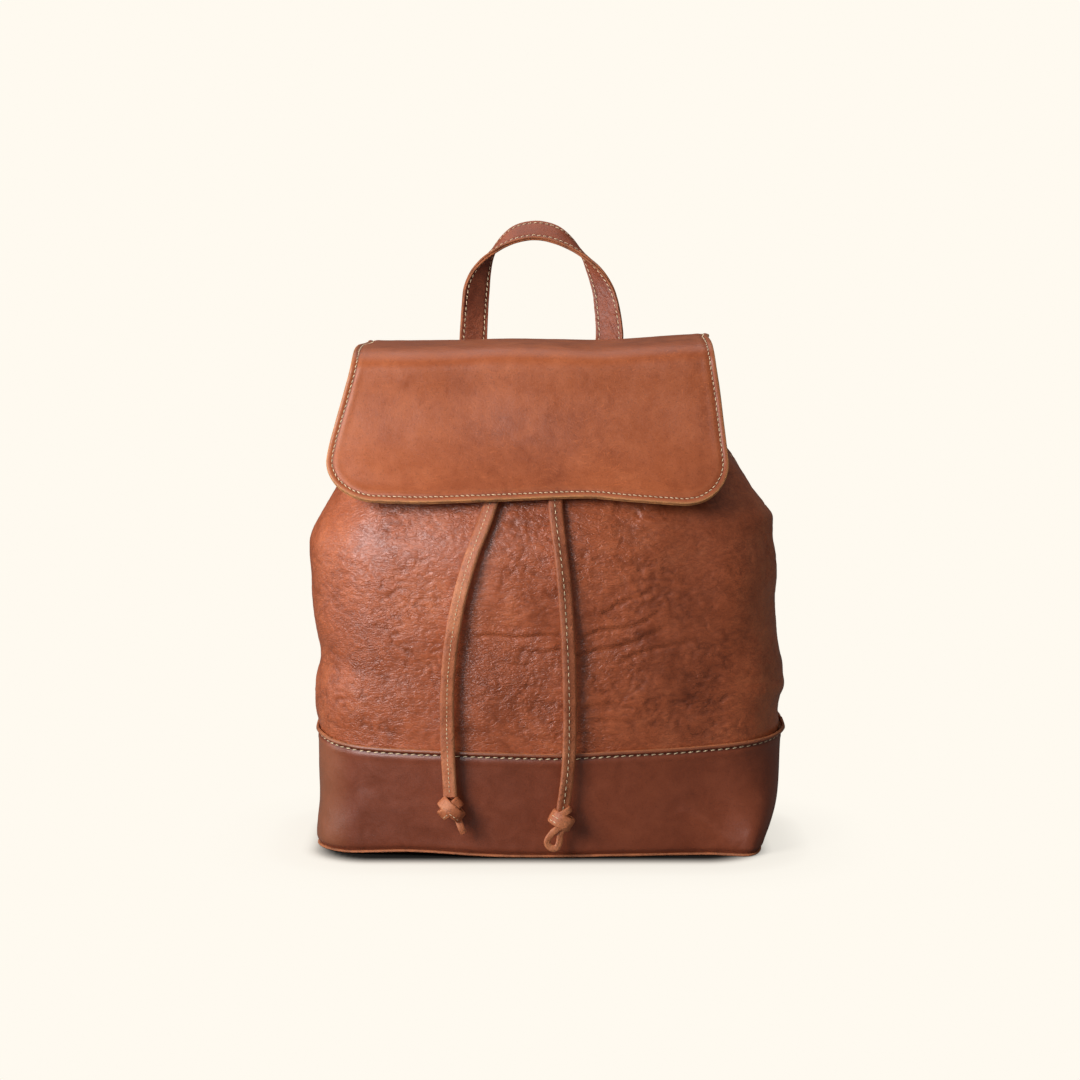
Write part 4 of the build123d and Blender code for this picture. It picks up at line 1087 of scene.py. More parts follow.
def build_flap():
    u = np.concatenate([[-1, -0.996, -0.990, -0.982], np.linspace(-0.974, 0.974, 150), [0.982, 0.990, 0.996, 1]])
    for end, (v0, v1, bodies, start, stop, stands_for) in FLAP_HALVES.items():
        v = flap_rows(v0, v1)
        P, N, edge = flap_sheet(*np.broadcast_arrays(v[:, None], u[None, :]))
        # pale along the cut edge and along a line inside it; painted shade in the stitch groove
        tone = -0.75 * hump(edge, FLAP_STITCH_IN, 0.8) + 0.40 * hump(edge, 0.3, 0.9) + 0.12 * hump(edge, 6.6, 1.2)
        tone = tone * smooth(FLAP_STITCH_FROM - 6, FLAP_STITCH_FROM, v)[:, None]
        shape = {"N": N[:, ::-1], "bulge": 0.32, "open_row": -1 if end == "back" else 0}
        hide = slab(f"flap_hide_{end}", P[:, ::-1], FLAP_THICK, [FLAP_HIDE, EDGE, FLESH], tone[:, ::-1], **shape)
        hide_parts(*stands_for)
        under = P - N * (FLAP_THICK + 0.06)
        lining = slab(f"flap_lining_{end}", under[:, ::-1], FLAP_LINING_THICK, [FLESH, EDGE, LINING_CLOTH],
                      **shape)
        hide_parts(*[node + "_lining" for node in stands_for])
        sewn = flap_stitches(end, v0, v1, P, N, v, u)
        bend([hide])
        bend([lining])
        bend(sewn)


def flap_stitches(end, v0, v1, P, N, v, u):
    def sew(name, vs, xs, length, slant):
        left, right, pull = flap_sides(vs)
        us = np.where(xs < 0, xs / (left - pull), xs / (right - pull))
        face, out = sample_grid(P, v, u, vs, us), sample_grid(N, v, u, vs, us)
        return stitches(f"flap_stitches_{name}", face, out, 3.35, length, 0.29, slant, -0.02)

    vs = np.arange(max(v0, FLAP_STITCH_FROM), min(v1, FLAP_STRAIGHT), 0.8)
    wide_left, wide_right, _ = flap_sides(vs)
    left, right = -(wide_left - FLAP_STITCH_IN), wide_right - FLAP_STITCH_IN
    if end == "back":
        across = np.linspace(-(wide_left[0] - 12), wide_right[0] - 12, 300)
        return [sew("back_left", vs, left, 2.4, 12.0), sew("back_right", vs, right, 2.4, 12.0),
                sew("sewn_edge", across * 0 + 5.0, across, 2.4, 12.0)]
    a = np.radians(np.linspace(0, 90, 40))
    r = FLAP_CORNER - FLAP_STITCH_IN
    corner_v = FLAP_STRAIGHT + r * np.sin(a)
    wide_left, wide_right, _ = flap_sides(corner_v)
    down = -(wide_left - FLAP_CORNER + r * np.cos(a))
    bottom = np.linspace(down[-1], (wide_right - FLAP_CORNER)[-1], 260)[1:-1]
    up = (wide_right - FLAP_CORNER + r * np.cos(a))[::-1]
    path_v = np.concatenate([vs, corner_v, bottom * 0 + FLAP_LONG - FLAP_STITCH_IN, corner_v[::-1], vs[::-1]])
    return [sew("front", path_v, np.concatenate([left, down, bottom, up, right[::-1]]), 2.5, -12.0)]


build_hides()
build_band()
build_sole()
build_flap()


# ---------------------------------------------------------------- mouth: facing, lining, eyelets and drawstring
def build_inside():
    for front in (True, False):
        end = "front" if front else "back"
        q = hide_columns(front, 3.0)
        z = np.concatenate([[284.0, 284.4, 285.2], np.arange(287.0, 315.0, 2.0), [316.6, 317.5, 318.0]])
        P, N, _ = soft_wall(q[None, :], z[:, None], front)
        P = P - N * 2.3
        facing = slab(f"mouth_facing_hide_{end}", P, 1.4, [FLESH, EDGE, STRAP_HIDE], N=N,
                      holes=lambda c: near_eyelet(c) < 8.0)
        place(facing, "bag", "strap_hide", f"mouth_facing_{end}")
    q = np.linspace(-1, 1, 321)[:-1]
    z = np.concatenate([[6.0, 8.0, 12.0], np.arange(16.0, 283.0, 4.0), [283.5]])
    W = wall(q[None, :], z[:, None])
    N = normals_of(W)
    height = W[..., 2]
    inset = 3.2 + 1.2 * np.abs(perlin(W, 45.0, 71)) * smooth(20, 60, height) * smooth(283, 260, height)
    inset = inset + 6.0 * smooth(24, 6, height) ** 2
    deep = 1.0 * smooth(222, 288, height) + 1.2        # pushed in by the hide's deeper folds
    W = W - N * (inset + deep)[..., None]
    floor = [W[0] * np.array([s, s, 1.0]) + np.array([0, 0, -0.4]) for s in (0.25, 0.5, 0.75, 0.9, 0.97)]
    P = np.concatenate([np.array(floor), W])
    lining = make_mesh("lining_bag", P.reshape(-1, 3), capped(*P.shape[:2])[:-1], [LINING_CLOTH])
    thick = lining.modifiers.new("cloth", "SOLIDIFY")
    thick.thickness, thick.offset = 0.7 * MM, -1.0
    place(lining, "bag", "lining_cloth", "lining")


EYELET_PROFILE = [(5.0, -4.3), (5.0, -1.5), (5.0, 0.5), (5.25, 1.05), (5.8, 1.35), (6.6, 1.3), (7.4, 0.95),
                  (7.9, 0.5), (8.0, 0.1), (6.1, 0.0), (6.0, -1.8), (6.0, -3.6), (7.9, -3.75), (7.8, -4.2),
                  (7.0, -4.6), (5.8, -4.7), (5.2, -4.6), (5.0, -4.3)]


def mouth_points():
    """Places round the right half of the mouth, their outward directions, and which of them are eyelets."""
    half, _, r_front, r_back = station(EYELET_Z)
    cx, crown_y = half - r_front, CROWN_RADIUS - MOUTH_DEPTH
    cy = crown_y - math.sqrt((CROWN_RADIUS - r_front) ** 2 - cx**2)

    def on_arc(centre, radius, degrees, hole=False):
        d = (math.cos(math.radians(degrees)), math.sin(math.radians(degrees)))
        return (centre[0] + radius * d[0], centre[1] + radius * d[1]), d, hole

    found = [on_arc((0.0, crown_y), CROWN_RADIUS, math.degrees(math.asin(x / CROWN_RADIUS)) - 90.0, hole)
             for x, hole in ((16.0, True), (38.0, False), (60.0, True))]
    found += [on_arc((cx, cy), r_front, a) for a in (-80, -60, -40, -20, 0)]
    found += [((half, y), (1.0, 0.0), True) for y in (16.5, 33.5)]
    found += [on_arc((half - r_back, BACK - r_back), r_back, a) for a in (5, 25, 45, 65, 88)]
    found += [((x, BACK), (0.0, 1.0), True) for x in (56.0, 20.0)]
    return found


def build_drawstring():
    outside, inside = 2.9, -6.1
    route, side = [], inside
    for i, (point, out, hole) in enumerate(mouth_points()):
        steps = [side]
        if hole:
            steps = [outside + 1.3, inside] if i == 0 else [side, outside + inside - side]
            side = steps[1]
        route += [(point[0] + out[0] * g, point[1] + out[1] * g, EYELET_Z) for g in steps]
    whole = np.array(route + [(-x, y, z) for x, y, z in reversed(route)])
    for _ in range(3):
        cut = np.stack([whole[:-1] * 0.75 + whole[1:] * 0.25, whole[:-1] * 0.25 + whole[1:] * 0.75], axis=1)
        whole = np.concatenate([whole[:1], cut.reshape(-1, 3), whole[-1:]])
    points, _ = resample(whole, 1.5)
    points[:, 2] += 0.5 * perlin(points, 18.0, 75)
    up = np.broadcast_to((0.0, 0.0, 1.0), points.shape)
    out = np.cross(unit_rows(np.gradient(points, axis=0)), up)
    section = lace_section() * np.array([8.0 / TAIL_WIDTH, 2.6 / TAIL_THICK])
    verts, faces = flat_tube(points, up, out, section, 0.15, 7.0)
    place(make_mesh("drawstring_woven", verts, faces, [LACE_HIDE]), "bag", "lace_hide", "drawstring_loop")


# ---------------------------------------------------------------- strips of leather
def strip_piece(name, left, right, thick, lift, materials, columns, step, relief, seed, sewn=None, wrinkle=None,
                shade=None):
    """A strip between two edge lines given point for point; lift moves the layer along the outward direction."""
    left, right = spline(left, 12), spline(right, 12)
    _, gone = resample((left + right) / 2, step)
    length = distances((left + right) / 2)
    base = np.linspace(0, 1, len(left))
    index = np.interp(gone / gone[-1] * length[-1], length, base)
    A, B = read_at(index, base, left), read_at(index, base, right)
    w = np.concatenate([[0, 0.03, 0.08], np.linspace(0.14, 0.86, columns), [0.92, 0.97, 1]])
    P = A[:, None, :] * (1 - w)[None, :, None] + B[:, None, :] * w[None, :, None]
    N = normals_of(P)
    width = np.linalg.norm(B - A, axis=1)[:, None]
    edge = np.minimum(w, 1 - w)[None, :] * width
    move = lift + relief * perlin(P, 8.0, seed)
    tone = 0.25 * hump(edge, 0.2, 0.8)
    # the stitch groove: pressed in, with painted shade in it
    if sewn:
        move = move - 0.35 * hump(edge, sewn, 0.9)
        tone = tone - 0.7 * hump(edge, sewn, 0.8)
    if wrinkle:
        move = move + wrinkle(P)
    if shade:
        tone = tone + shade(P)
    face = P + N * move[..., None]
    return slab(name, face, thick, materials, tone, N=N), face, N, w, width[:, 0]


def strip_stitches(name, face, N, w, width, inset, pitch, radius=0.42, trim=(0.0, 0.0)):
    """The two rows of stitches along a strip's face, trimmed at its start and end."""
    rows = []
    for label, across in (("a", inset / width), ("b", 1 - inset / width)):
        j = np.clip(np.searchsorted(w, across) - 1, 0, len(w) - 2)
        t = ((across - w[j]) / (w[j + 1] - w[j]))[:, None]
        i = np.arange(len(face))
        line, out = (grid[i, j] * (1 - t) + grid[i, j + 1] * t for grid in (face, N))
        gone = distances(line)
        keep = (gone >= trim[0]) & (gone <= gone[-1] - trim[1])
        rows.append(stitches(f"{name}_{label}", line[keep], out[keep], pitch, pitch * 0.72, radius, 10.0, 0.0))
    return rows


# ---------------------------------------------------------------- grab handle
HANDLE_A = [(-53.5, 70.6, 272), (-53.5, 70.6, 281), (-53.5, 70.8, 289), (-53.6, 76.2, 300), (-53.8, 84.2, 315),
            (-53.4, 90.0, 331), (-52.6, 91.8, 343), (-51.7, 93.0, 355), (-50.5, 94.4, 365.5),
            (-47.6, 96.2, 373.5), (-43.3, 98.2, 380.2), (-36.7, 100.8, 386.8), (-30.0, 102.8, 391.2),
            (-22.0, 104.6, 395.7), (-13.2, 105.6, 398.9), (-3.4, 106.0, 400.4), (5.6, 105.6, 399.7),
            (15.0, 104.6, 397.0), (24.2, 103.0, 392.9), (31.0, 101.4, 389.0), (39.2, 99.0, 383.2),
            (46.3, 97.0, 376.2), (52.2, 95.0, 367.0), (55.1, 93.2, 359.0), (57.2, 91.4, 350.0),
            (58.6, 89.6, 341.0), (59.2, 87.6, 331.0), (57.0, 83.8, 315), (54.6, 76.2, 300), (53.5, 70.8, 289),
            (53.5, 70.6, 281), (53.5, 70.6, 272)]
HANDLE_B = [(-34.5, 70.6, 272), (-34.5, 70.6, 281), (-34.5, 70.8, 289), (-34.7, 76.4, 300), (-35.2, 86.0, 315),
            (-35.4, 94.6, 331), (-35.1, 98.0, 343), (-34.6, 101.0, 355), (-34.0, 104.8, 365.5),
            (-33.4, 108.4, 375.5), (-32.4, 111.4, 383.5), (-30.6, 113.8, 390.4), (-27.4, 115.6, 397.0),
            (-20.6, 118.0, 404.8), (-13.2, 119.2, 409.4), (-3.0, 119.8, 411.5), (5.8, 119.6, 410.9),
            (14.0, 118.4, 408.2), (20.6, 116.8, 403.2), (26.8, 114.6, 396.0), (32.2, 111.4, 387.6),
            (35.2, 108.0, 378.8), (37.6, 105.0, 370.2), (39.6, 102.4, 362.0), (40.4, 99.8, 353.6),
            (41.2, 97.0, 344.5), (41.4, 93.4, 331.0), (39.8, 85.8, 315), (36.4, 76.4, 300), (34.5, 70.8, 289),
            (34.5, 70.6, 281), (34.5, 70.6, 272)]


def build_handle():
    def pebbled(P):
        right_leg = smooth(30, 36, P[..., 0]) * (1 - smooth(352, 378, P[..., 2])) * smooth(300, 318, P[..., 2])
        squeezed = (P + 2.0 * perlin(P, 9.0, 81)[..., None]) @ unit(0.75, 0.0, 0.66) / 1.2
        furrows = np.stack([squeezed, 0.25 * P[..., 2], 0.3 * P[..., 0]], axis=-1)
        return -0.6 * np.exp(-((perlin(furrows, 2.2, 82) / 0.3) ** 2)) * right_leg

    def shaded(P):
        return -smooth(-30, -36, P[..., 0]) * (0.25 + 0.4 * smooth(335, 362, P[..., 2]))

    inset, pitch, thick, lift = 2.1, 3.95, 1.5, 1.55
    inner, *grid_in = strip_piece("handle_layer_inner", HANDLE_B, HANDLE_A, thick, lift, STRAP_LAYERS, 26, 0.8,
                                  0.12, 3.0, inset)
    outer, *grid_out = strip_piece("handle_layer_outer", HANDLE_A, HANDLE_B, thick, lift,
                                   [GRIP_HIDE, DYED_EDGE, FLESH], 26, 0.8, 0.12, 4.0, inset, pebbled, shaded)
    rows = strip_stitches("handle_stitches_inner", *grid_in, inset, pitch, 0.3)
    rows += strip_stitches("handle_stitches_outer", *grid_out, inset, pitch, 0.3)
    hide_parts("handle_inner", "handle_ends")
    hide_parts("handle_outer")
    bend([inner, outer, *rows])


# ---------------------------------------------------------------- shoulder straps
STRAP_Y = 70.4
STRAP_TOP, STRAP_FOOT = np.array([28.0, STRAP_Y, 242.0]), np.array([92.0, STRAP_Y, 46.0])
BUCKLE_AT, BUCKLE_HEADING = (126.0, 60.0), math.radians(26.0)
UPPER_END_HALF, LOWER_HALF = 11.0, 10.0
RING_STRAP = (210.0, 9.0)
STRAP_DOWN = unit(*(STRAP_FOOT - STRAP_TOP))
STRAP_OUT = np.array([0.0, 1.0, 0.0])
STRAP_ACROSS = np.cross(STRAP_DOWN, STRAP_OUT)
ALONG = np.array([math.cos(BUCKLE_HEADING), math.sin(BUCKLE_HEADING)])     # the strap's way at its buckle
OUT = np.array([-ALONG[1], ALONG[0]])


def from_buckle(along, out):
    return np.array(BUCKLE_AT) + ALONG * along + OUT * out


def strap_point(s, h, w, side):
    """A point given along the strap's chord, out from it and across it, on the right or mirrored to the left."""
    p = STRAP_TOP + STRAP_DOWN * s + STRAP_OUT * h + STRAP_ACROSS * w
    return (p[0] * side, p[1], p[2])


def strap_edges(path, halves, side):
    line, gone = resample(spline([(s, h, 0.0) for s, h in path], 10), 7.0)
    half = curve(line[:, 0], halves) if isinstance(halves, list) else np.full(len(line), halves)
    low = [strap_point(s, h, -w, side) for (s, h, _), w in zip(line, half)]
    high = [strap_point(s, h, w, side) for (s, h, _), w in zip(line, half)]
    return (low, high) if side > 0 else (high, low)


UPPER_PATH = [(-22, 0), (-8, 0), (6, 0), (18, 1.2), (34, 8.0), (44, 14.6), from_buckle(-76, 0),
              from_buckle(-60, 0.6), from_buckle(-44, 0.2), from_buckle(-28, 0), from_buckle(-12, 0),
              from_buckle(-2.5, 0)]
UPPER_HALVES = [(-30, 15), (40, 15), (52, 14.4), (66, 11.2), (200, 11)]
LOWER_PATH = [from_buckle(-62, 4.3), from_buckle(-48, 4.9), from_buckle(-30, 4.9), from_buckle(-14, 5.0),
              from_buckle(0, 5.3), from_buckle(8, 4.2), from_buckle(14, 0.2), from_buckle(20, -3.0),
              from_buckle(30, -3.3), from_buckle(42, -3.0), (178.5, 76.0), (188.5, 70.5), (197, 58), (203, 44),
              (207.2, 28), (209.3, 17), (210, 11.5)]


def build_straps():
    for name, side in (("right", 1), ("left", -1)):
        swing = f"{name}_strap"
        a, b = strap_edges(UPPER_PATH, UPPER_HALVES, side)
        pieces, grids = [], []
        for layer, edges, seed in (("face", (b, a), 5.0), ("back", (a, b), 7.0)):
            hide, *grid = strip_piece(f"strap_upper_{layer}_{name}", *edges, 2.0, 2.05, STRAP_LAYERS, 20, 1.6,
                                      0.15, seed + side, 3.0)
            pieces.append(hide)
            grids.append(grid)
        for rows, grid in zip(("strap_stitches", "strap_stitches_back"), grids):
            pieces += strip_stitches(f"{rows}_{name}", *grid, 3.0, 4.4, trim=(2.0, 5.0))
        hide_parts(f"strap_top_{name}", f"strap_upper_{name}")
        bend(pieces)
        end = strap_end_loop(f"strap_end_loop_{name}", BUCKLE_AT, UPPER_END_HALF, 3.6, 1.75,
                             BUCKLE_HEADING + math.pi, side)
        place(end, swing, "strap_hide")

        a, b = strap_edges(LOWER_PATH, LOWER_HALF, side)
        lower, *_ = strip_piece(f"strap_lower_hide_{name}", b, a, 2.5, 1.25, [STRAP_HIDE, EDGE, STRAP_HIDE], 12,
                                1.5, 0.12, 9.0 + side)
        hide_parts(f"strap_lower_{name}", f"strap_foot_{name}")
        bend([lower])
        loop = strap_end_loop(f"strap_foot_loop_{name}", RING_STRAP, LOWER_HALF, 3.2, 1.7, math.radians(97), side)
        place(loop, "bag", "strap_hide")
        place(punched_rings(name, side), swing, "brass")
        build_keeper(name, side, swing)
        build_tab(name, side)


def strap_end_loop(name, at, half, radius, bore, heading, side):
    """The fold of a strap round a bar: a rolled sleeve, open towards the strap."""
    turns = 30
    angles = np.radians(np.linspace(28, 332, turns)) + heading
    around = np.concatenate([angles, angles[::-1]])
    outer = np.arange(2 * turns) < turns
    rings = []
    for across, shrink in ((-half, 0.25), (-half + 0.5, 0.0), (-half / 2, 0.0), (0.0, 0.0), (half / 2, 0.0),
                           (half - 0.5, 0.0), (half, 0.25)):
        reach = np.where(outer, radius - shrink, bore + 0.3 * shrink)
        rings.append([strap_point(at[0] + r * math.cos(a), at[1] + r * math.sin(a), across, side)
                      for a, r in zip(around, reach)])
    P = np.array(rings)
    n, m = P.shape[:2]
    faces = quads(n, m, wrap=True)
    faces = faces.tolist() if side > 0 else faces[:, ::-1].tolist()
    for row, flip in ((0, side > 0), (n - 1, side < 0)):
        for k in range(turns - 1):
            face = [row * m + k, row * m + k + 1, row * m + m - 2 - k, row * m + m - 1 - k]
            faces.append(face[::-1] if flip else face)
    return make_mesh(name, P.reshape(-1, 3), faces, [STRAP_HIDE], sharp=60.0)


def punched_rings(name, side):
    """The lined holes in the free end of the lower strap."""
    out = unit(*(STRAP_DOWN * OUT[0] + STRAP_OUT * OUT[1])) * np.array([side, 1, 1])
    places = [(strap_point(*from_buckle(along, 6.15), 0.0, side), out) for along in (-20.0, -34.0, -48.0)]
    profile = [(1.5, -0.6), (1.5, 0.2), (1.8, 0.42), (2.3, 0.42), (2.8, 0.22), (3.0, -0.1), (3.0, -0.6),
               (1.5, -0.6)]
    return lathe(f"strap_hole_rings_{name}", places, profile, 24)


def build_keeper(name, side, body):
    """The loop that holds the free end down."""
    centre = from_buckle(-40.0, 2.15)
    outline = squared_oval(UPPER_END_HALF + 1.05, 5.3, 0.28, 0.35, 7.5)
    outline = np.concatenate([outline, outline[:1]])
    P = np.array([[strap_point(*(centre + ALONG * t + OUT * h), w, side) for w, h in outline]
                  for t in (-4.5, -4.2, -2.0, 0.0, 2.0, 4.2, 4.5)])
    N = normals_of(P)
    if np.sum(N * (P - strap_point(*centre, 0.0, side))) < 0:
        P, N = P[::-1], -N[::-1]
    keeper = slab(f"strap_keeper_hide_{name}", P + N * 0.7, 1.4, STRAP_LAYERS, N=N)
    place(keeper, body, "strap_hide", f"strap_keeper_{name}")


def build_tab(name, side):
    """The tab that holds the ring at the foot of the strap, sewn and riveted to the back."""
    path = [(246, -2.4), (238, -2.4), (230, -2.4), (222, -2.2), (219.4, -1.2), (216.2, 2.9)]
    tab, *grid = strip_piece(f"ring_tab_hide_{name}", *strap_edges(path, LOWER_HALF + 1, side), 1.5, 0.75,
                             STRAP_LAYERS, 12, 1.4, 0.1, 11.0 + side, 2.4)
    rows = strip_stitches(f"tab_stitches_{name}", *grid, 2.4, 3.4, trim=(2.0, 9.0))
    loop = strap_end_loop(f"tab_loop_{name}", (216.0, 0.0), LOWER_HALF + 1, 3.1, 1.7, math.radians(-20), side)
    place(tab, "bag", "strap_hide", f"ring_tab_{name}")
    for piece in (loop, *rows):
        place(piece, "bag", "strap_hide")


# ---------------------------------------------------------------- patch, rivets and pocket
PATCH_HALF, PATCH_LOW, PATCH_HIGH, PATCH_CORNER, PATCH_Y = 62.0, 244.0, 287.0, 6.0, 74.5
PATCH_STITCH_IN = 3.2
BACKWARD = (0.0, 1.0, 0.0)
PATCH_DOME = [(3.2, 0.0), (3.2, 0.35), (3.0, 0.75), (2.4, 1.1), (1.5, 1.32), (0.6, 1.4), (0.05, 1.42)]
TAB_DOME = [(2.6, -0.2), (2.6, 0.25), (2.3, 0.7), (1.6, 1.0), (0.7, 1.15), (0.05, 1.18)]


def build_patch():
    z = np.linspace(PATCH_LOW, PATCH_HIGH, 40)[:, None]
    depth = np.minimum(np.minimum(z - PATCH_LOW, PATCH_HIGH - z) / PATCH_CORNER, 1.0)
    pull = PATCH_CORNER * (1 - np.sqrt(np.maximum(0.0, 1 - (1 - depth) ** 2)))
    x = -np.linspace(-1, 1, 104)[None, :] * (PATCH_HALF - pull)
    P = np.stack(np.broadcast_arrays(x, PATCH_Y, z), axis=-1)
    edge = np.minimum(PATCH_HALF - np.abs(x), np.minimum(z - PATCH_LOW, PATCH_HIGH - z))
    over = np.maximum(hump(np.abs(x), 44, 9.0) ** 0.6 * smooth(262, 270, z),
                      hump(np.abs(x), 28, 15.0) * smooth(270, 262, z))
    move = 0.5 * over * smooth(2, 10, edge) - 0.35 * hump(edge, PATCH_STITCH_IN, 0.9)
    move += 0.1 * perlin(P, 8.0, 91) - 0.3 * smooth(3, 0, edge)
    N = np.broadcast_to(BACKWARD, P.shape)
    # painted shade in the stitch groove
    tone = -0.6 * hump(edge, PATCH_STITCH_IN, 0.8)
    patch = slab("yoke_patch_hide", P + N * move[..., None], 2.0, STRAP_LAYERS, tone, N=N)
    around, r = [], PATCH_CORNER - PATCH_STITCH_IN
    for cx, cz, start in ((1, PATCH_LOW + PATCH_CORNER, -90), (1, PATCH_HIGH - PATCH_CORNER, 0),
                          (-1, PATCH_HIGH - PATCH_CORNER, 90), (-1, PATCH_LOW + PATCH_CORNER, 180)):
        around += [(cx * (PATCH_HALF - PATCH_CORNER) + r * math.cos(a), PATCH_Y - 0.15, cz + r * math.sin(a))
                   for a in np.radians(np.linspace(start, start + 90, 8))]
    path, _ = resample(around + around[:1], 1.0)
    sewn = stitches("patch_stitches", path, np.broadcast_to(BACKWARD, path.shape), 4.4, 3.2, 0.42, 10.0)
    place(patch, "bag", "strap_hide", "yoke_patch")
    place(sewn, "bag", "strap_hide")
    heads = [((x, PATCH_Y, z), BACKWARD) for x in (-56.0, 56.0) for z in (251.0, 280.0)]
    place(lathe("patch_rivet_heads", heads, PATCH_DOME, 28), "bag", "brass", "patch_rivets")
    for name, side in (("right", 1), ("left", -1)):
        heads = [(strap_point(s, -1.6, 0.0, side), BACKWARD) for s in (230.0, 239.0)]
        place(lathe(f"tab_rivet_heads_{name}", heads, TAB_DOME, 24), "bag", "brass", f"tab_rivets_{name}")


POCKET_Y, POCKET_HALF, POCKET_LOW, POCKET_HIGH, ZIP_Z = 61.8, 92.0, 90.0, 206.0, 217.0
TOOTH_RINGS = [(-1.0, 0.55, 0.62), (-0.75, 0.8, 0.8), (0.75, 0.8, 0.8), (1.0, 0.55, 0.62)]
TOOTH_CORNERS = [(-1, -1), (1, -1), (1, 1), (-1, 1)]


def flat_grid(x, y, z):
    """A flat upright grid of points, and its outward direction, towards the front."""
    P = np.stack(np.broadcast_arrays(x[None, :], y, z[:, None]), axis=-1)
    return P, np.broadcast_to(FORWARD, P.shape)


def build_pocket():
    """The zipped pocket inside the back: a slack cloth panel, its tape, and the zip's teeth."""
    P, N = flat_grid(np.linspace(-POCKET_HALF, POCKET_HALF, 80), POCKET_Y,
                     np.linspace(POCKET_LOW, POCKET_HIGH, 50))
    x, z = P[..., 0], P[..., 2]
    edge = np.minimum(POCKET_HALF - np.abs(x), np.minimum(z - POCKET_LOW, POCKET_HIGH - z))
    slack = 1.6 * smooth(0, 30, edge) + 0.7 * perlin(P, 26.0, 95) * smooth(0, 12, edge)
    panel = slab("pocket_panel_cloth", P + N * (0.8 + slack)[..., None], 0.8, [LINING_CLOTH] * 3, N=N)
    place(panel, "bag", "lining_cloth", "pocket_panel")
    for half, low, high, stands_for in (("upper", 1.2, 10.8, ["zip_tape"]), ("lower", -10.8, -1.2, [])):
        T, N = flat_grid(np.linspace(-POCKET_HALF, POCKET_HALF, 120), POCKET_Y - 1.0,
                         ZIP_Z + np.linspace(low, high, 9))
        T = T + N * (0.12 * perlin(T, 14.0, 97))[..., None]
        place(slab(f"zip_tape_cloth_{half}", T, 0.8, [ZIP_CLOTH] * 3, N=N), "bag", "zip_cloth", *stands_for)
    teeth = []
    shape = np.array([(sx * a, y, sz * b) for y, a, b in TOOTH_RINGS for sx, sz in TOOTH_CORNERS])
    faces = quads(4, 4, wrap=True)[:, ::-1].tolist() + [[0, 1, 2, 3], [15, 14, 13, 12]]
    for row in (-1.0, 1.0):
        for x in np.arange(-79.0, 79.5, 2.3) + max(row, 0.0) * 1.15:
            teeth.append((shape * (0.85, 0.8, 1.2) + (x, POCKET_Y - 1.9, ZIP_Z + row * 0.85), faces))
    place(join_tubes("zip_teeth_rows", teeth, [BRASS]), "bag", "brass", "zip_teeth")


def finish_hardware():
    """Materials for the CAD parts whose shape is right as it is."""
    finish = {"snap_socket": SNAP_STEEL, "snap_stud": SNAP_STEEL, "zip_slider": BRASS, "zip_pull": BRASS,
              "base_board": BOARD}
    for side in ("left", "right"):
        for part in ("buckle_frame", "buckle_prong", "strap_ring"):
            finish[f"{part}_{side}"] = BRASS
    for name, material in finish.items():
        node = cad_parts[name]
        node.data.materials.clear()
        node.data.materials.append(material)


build_inside()
place(lathe("eyelet_rings", EYELETS, EYELET_PROFILE, 36), "bag", "brass", "eyelets")
build_drawstring()
build_handle()
build_straps()
build_patch()
build_pocket()
finish_hardware()


# ---------------------------------------------------------------- floor and world
AMBIENT, AMBIENT_SHEEN = 0.30, 0.08      # strength of the sky for diffuse light and for reflections
PAPER, SKY = linear((255, 250, 240)), (1.0, 0.975, 0.94, 1.0)
FLOOR_LIT = (0.22, 0.21, 0.20, 1.0)      # the floor as other surfaces see it
# the floor's shade and how much plain paper covers it, by nearness to the bag: a painted contact shadow, dark right
# under the bag
FLOOR_SHADES = [(0.0, (250, 245, 236)), (0.5, (250, 245, 236)), (1.0, (38, 37, 36))]
FLOOR_CLEAR = [(0.0, 1.0), (0.35, 0.93), (0.5, 0.75), (0.75, 0.2), (1.0, 0.0)]


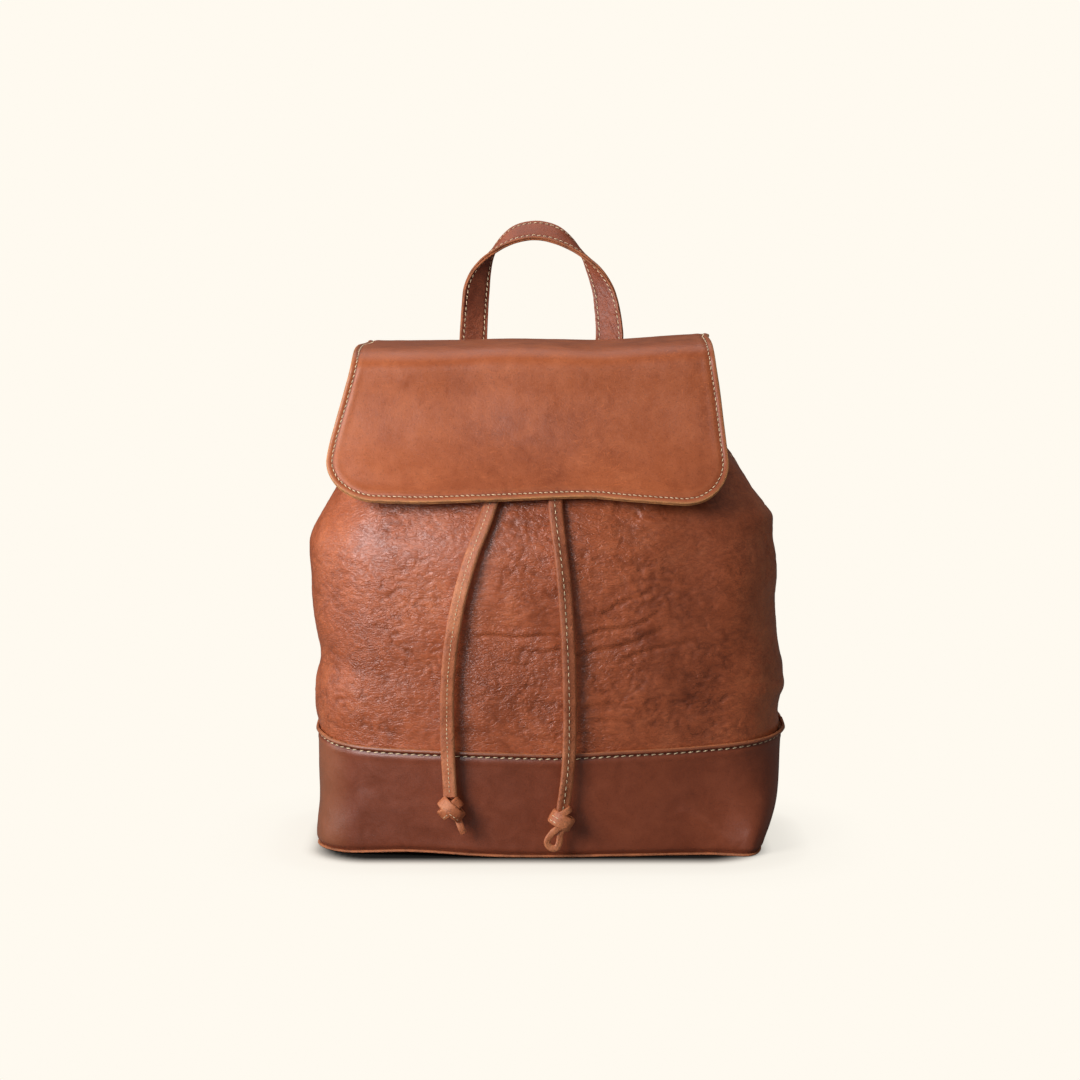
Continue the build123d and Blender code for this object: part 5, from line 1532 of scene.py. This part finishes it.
def build_world():
    world = bpy.data.worlds.new("studio")
    bpy.context.scene.world = world
    world.use_nodes = True
    tree = world.node_tree
    tree.nodes.clear()
    seen = add(tree, "Background", {"Color": PAPER, "Strength": 1.0})
    path = add(tree, "LightPath")
    strength = remap(tree, path.outputs["Is Glossy Ray"], 0.0, 1.0, AMBIENT, AMBIENT_SHEEN)
    lit = add(tree, "Background", {"Color": SKY, "Strength": strength})
    both = add(tree, "MixShader", {0: path.outputs["Is Camera Ray"], 1: lit.outputs[0], 2: seen.outputs[0]})
    tree.links.new(both.outputs[0], add(tree, "OutputWorld").inputs["Surface"])


def build_floor():
    material, tree, shader = new_material("floor")
    near = add(tree, "Attribute", attribute_name="tone").outputs["Fac"]
    ray = add(tree, "LightPath").outputs["Is Camera Ray"]
    shade = mix(tree, ray, FLOOR_LIT, ramp(tree, near, FLOOR_SHADES))
    tree.links.new(shade, shader.inputs["Base Color"])
    shader.inputs["Roughness"].default_value = 0.9
    shader.inputs["Specular IOR Level"].default_value = 0.0
    glow = add(tree, "Emission", {"Color": PAPER, "Strength": 1.0})
    clear = add(tree, "Math", {0: ramp(tree, near, FLOOR_CLEAR), 1: ray}, operation="MULTIPLY").outputs[0]
    blended = add(tree, "MixShader", {0: clear, 1: shader.outputs[0], 2: glow.outputs[0]})
    tree.links.new(blended.outputs[0], tree.nodes["Material Output"].inputs["Surface"])
    far = np.array([8000.0, 3000.0, 1400.0, 800.0, 500.0])
    line = np.concatenate([-far, np.arange(-320.0, 321.0, 4.0), far[::-1]])
    X, Y = np.meshgrid(line, line)
    flat = np.stack([X, Y, np.full(X.shape, -0.25)], axis=-1)
    distance = np.hypot(np.maximum(np.abs(X) - 108.0, 0), np.maximum(np.abs(Y + 4.0) - 34.0, 0)) - 36.0
    shadow = 0.5 * (1 - smooth(10.0, 90.0, distance)) + 0.5 * (1 - smooth(-11.0, 13.0, distance))
    make_mesh("floor", flat.reshape(-1, 3), quads(*X.shape), [material], None, shadow)


build_world()
build_floor()
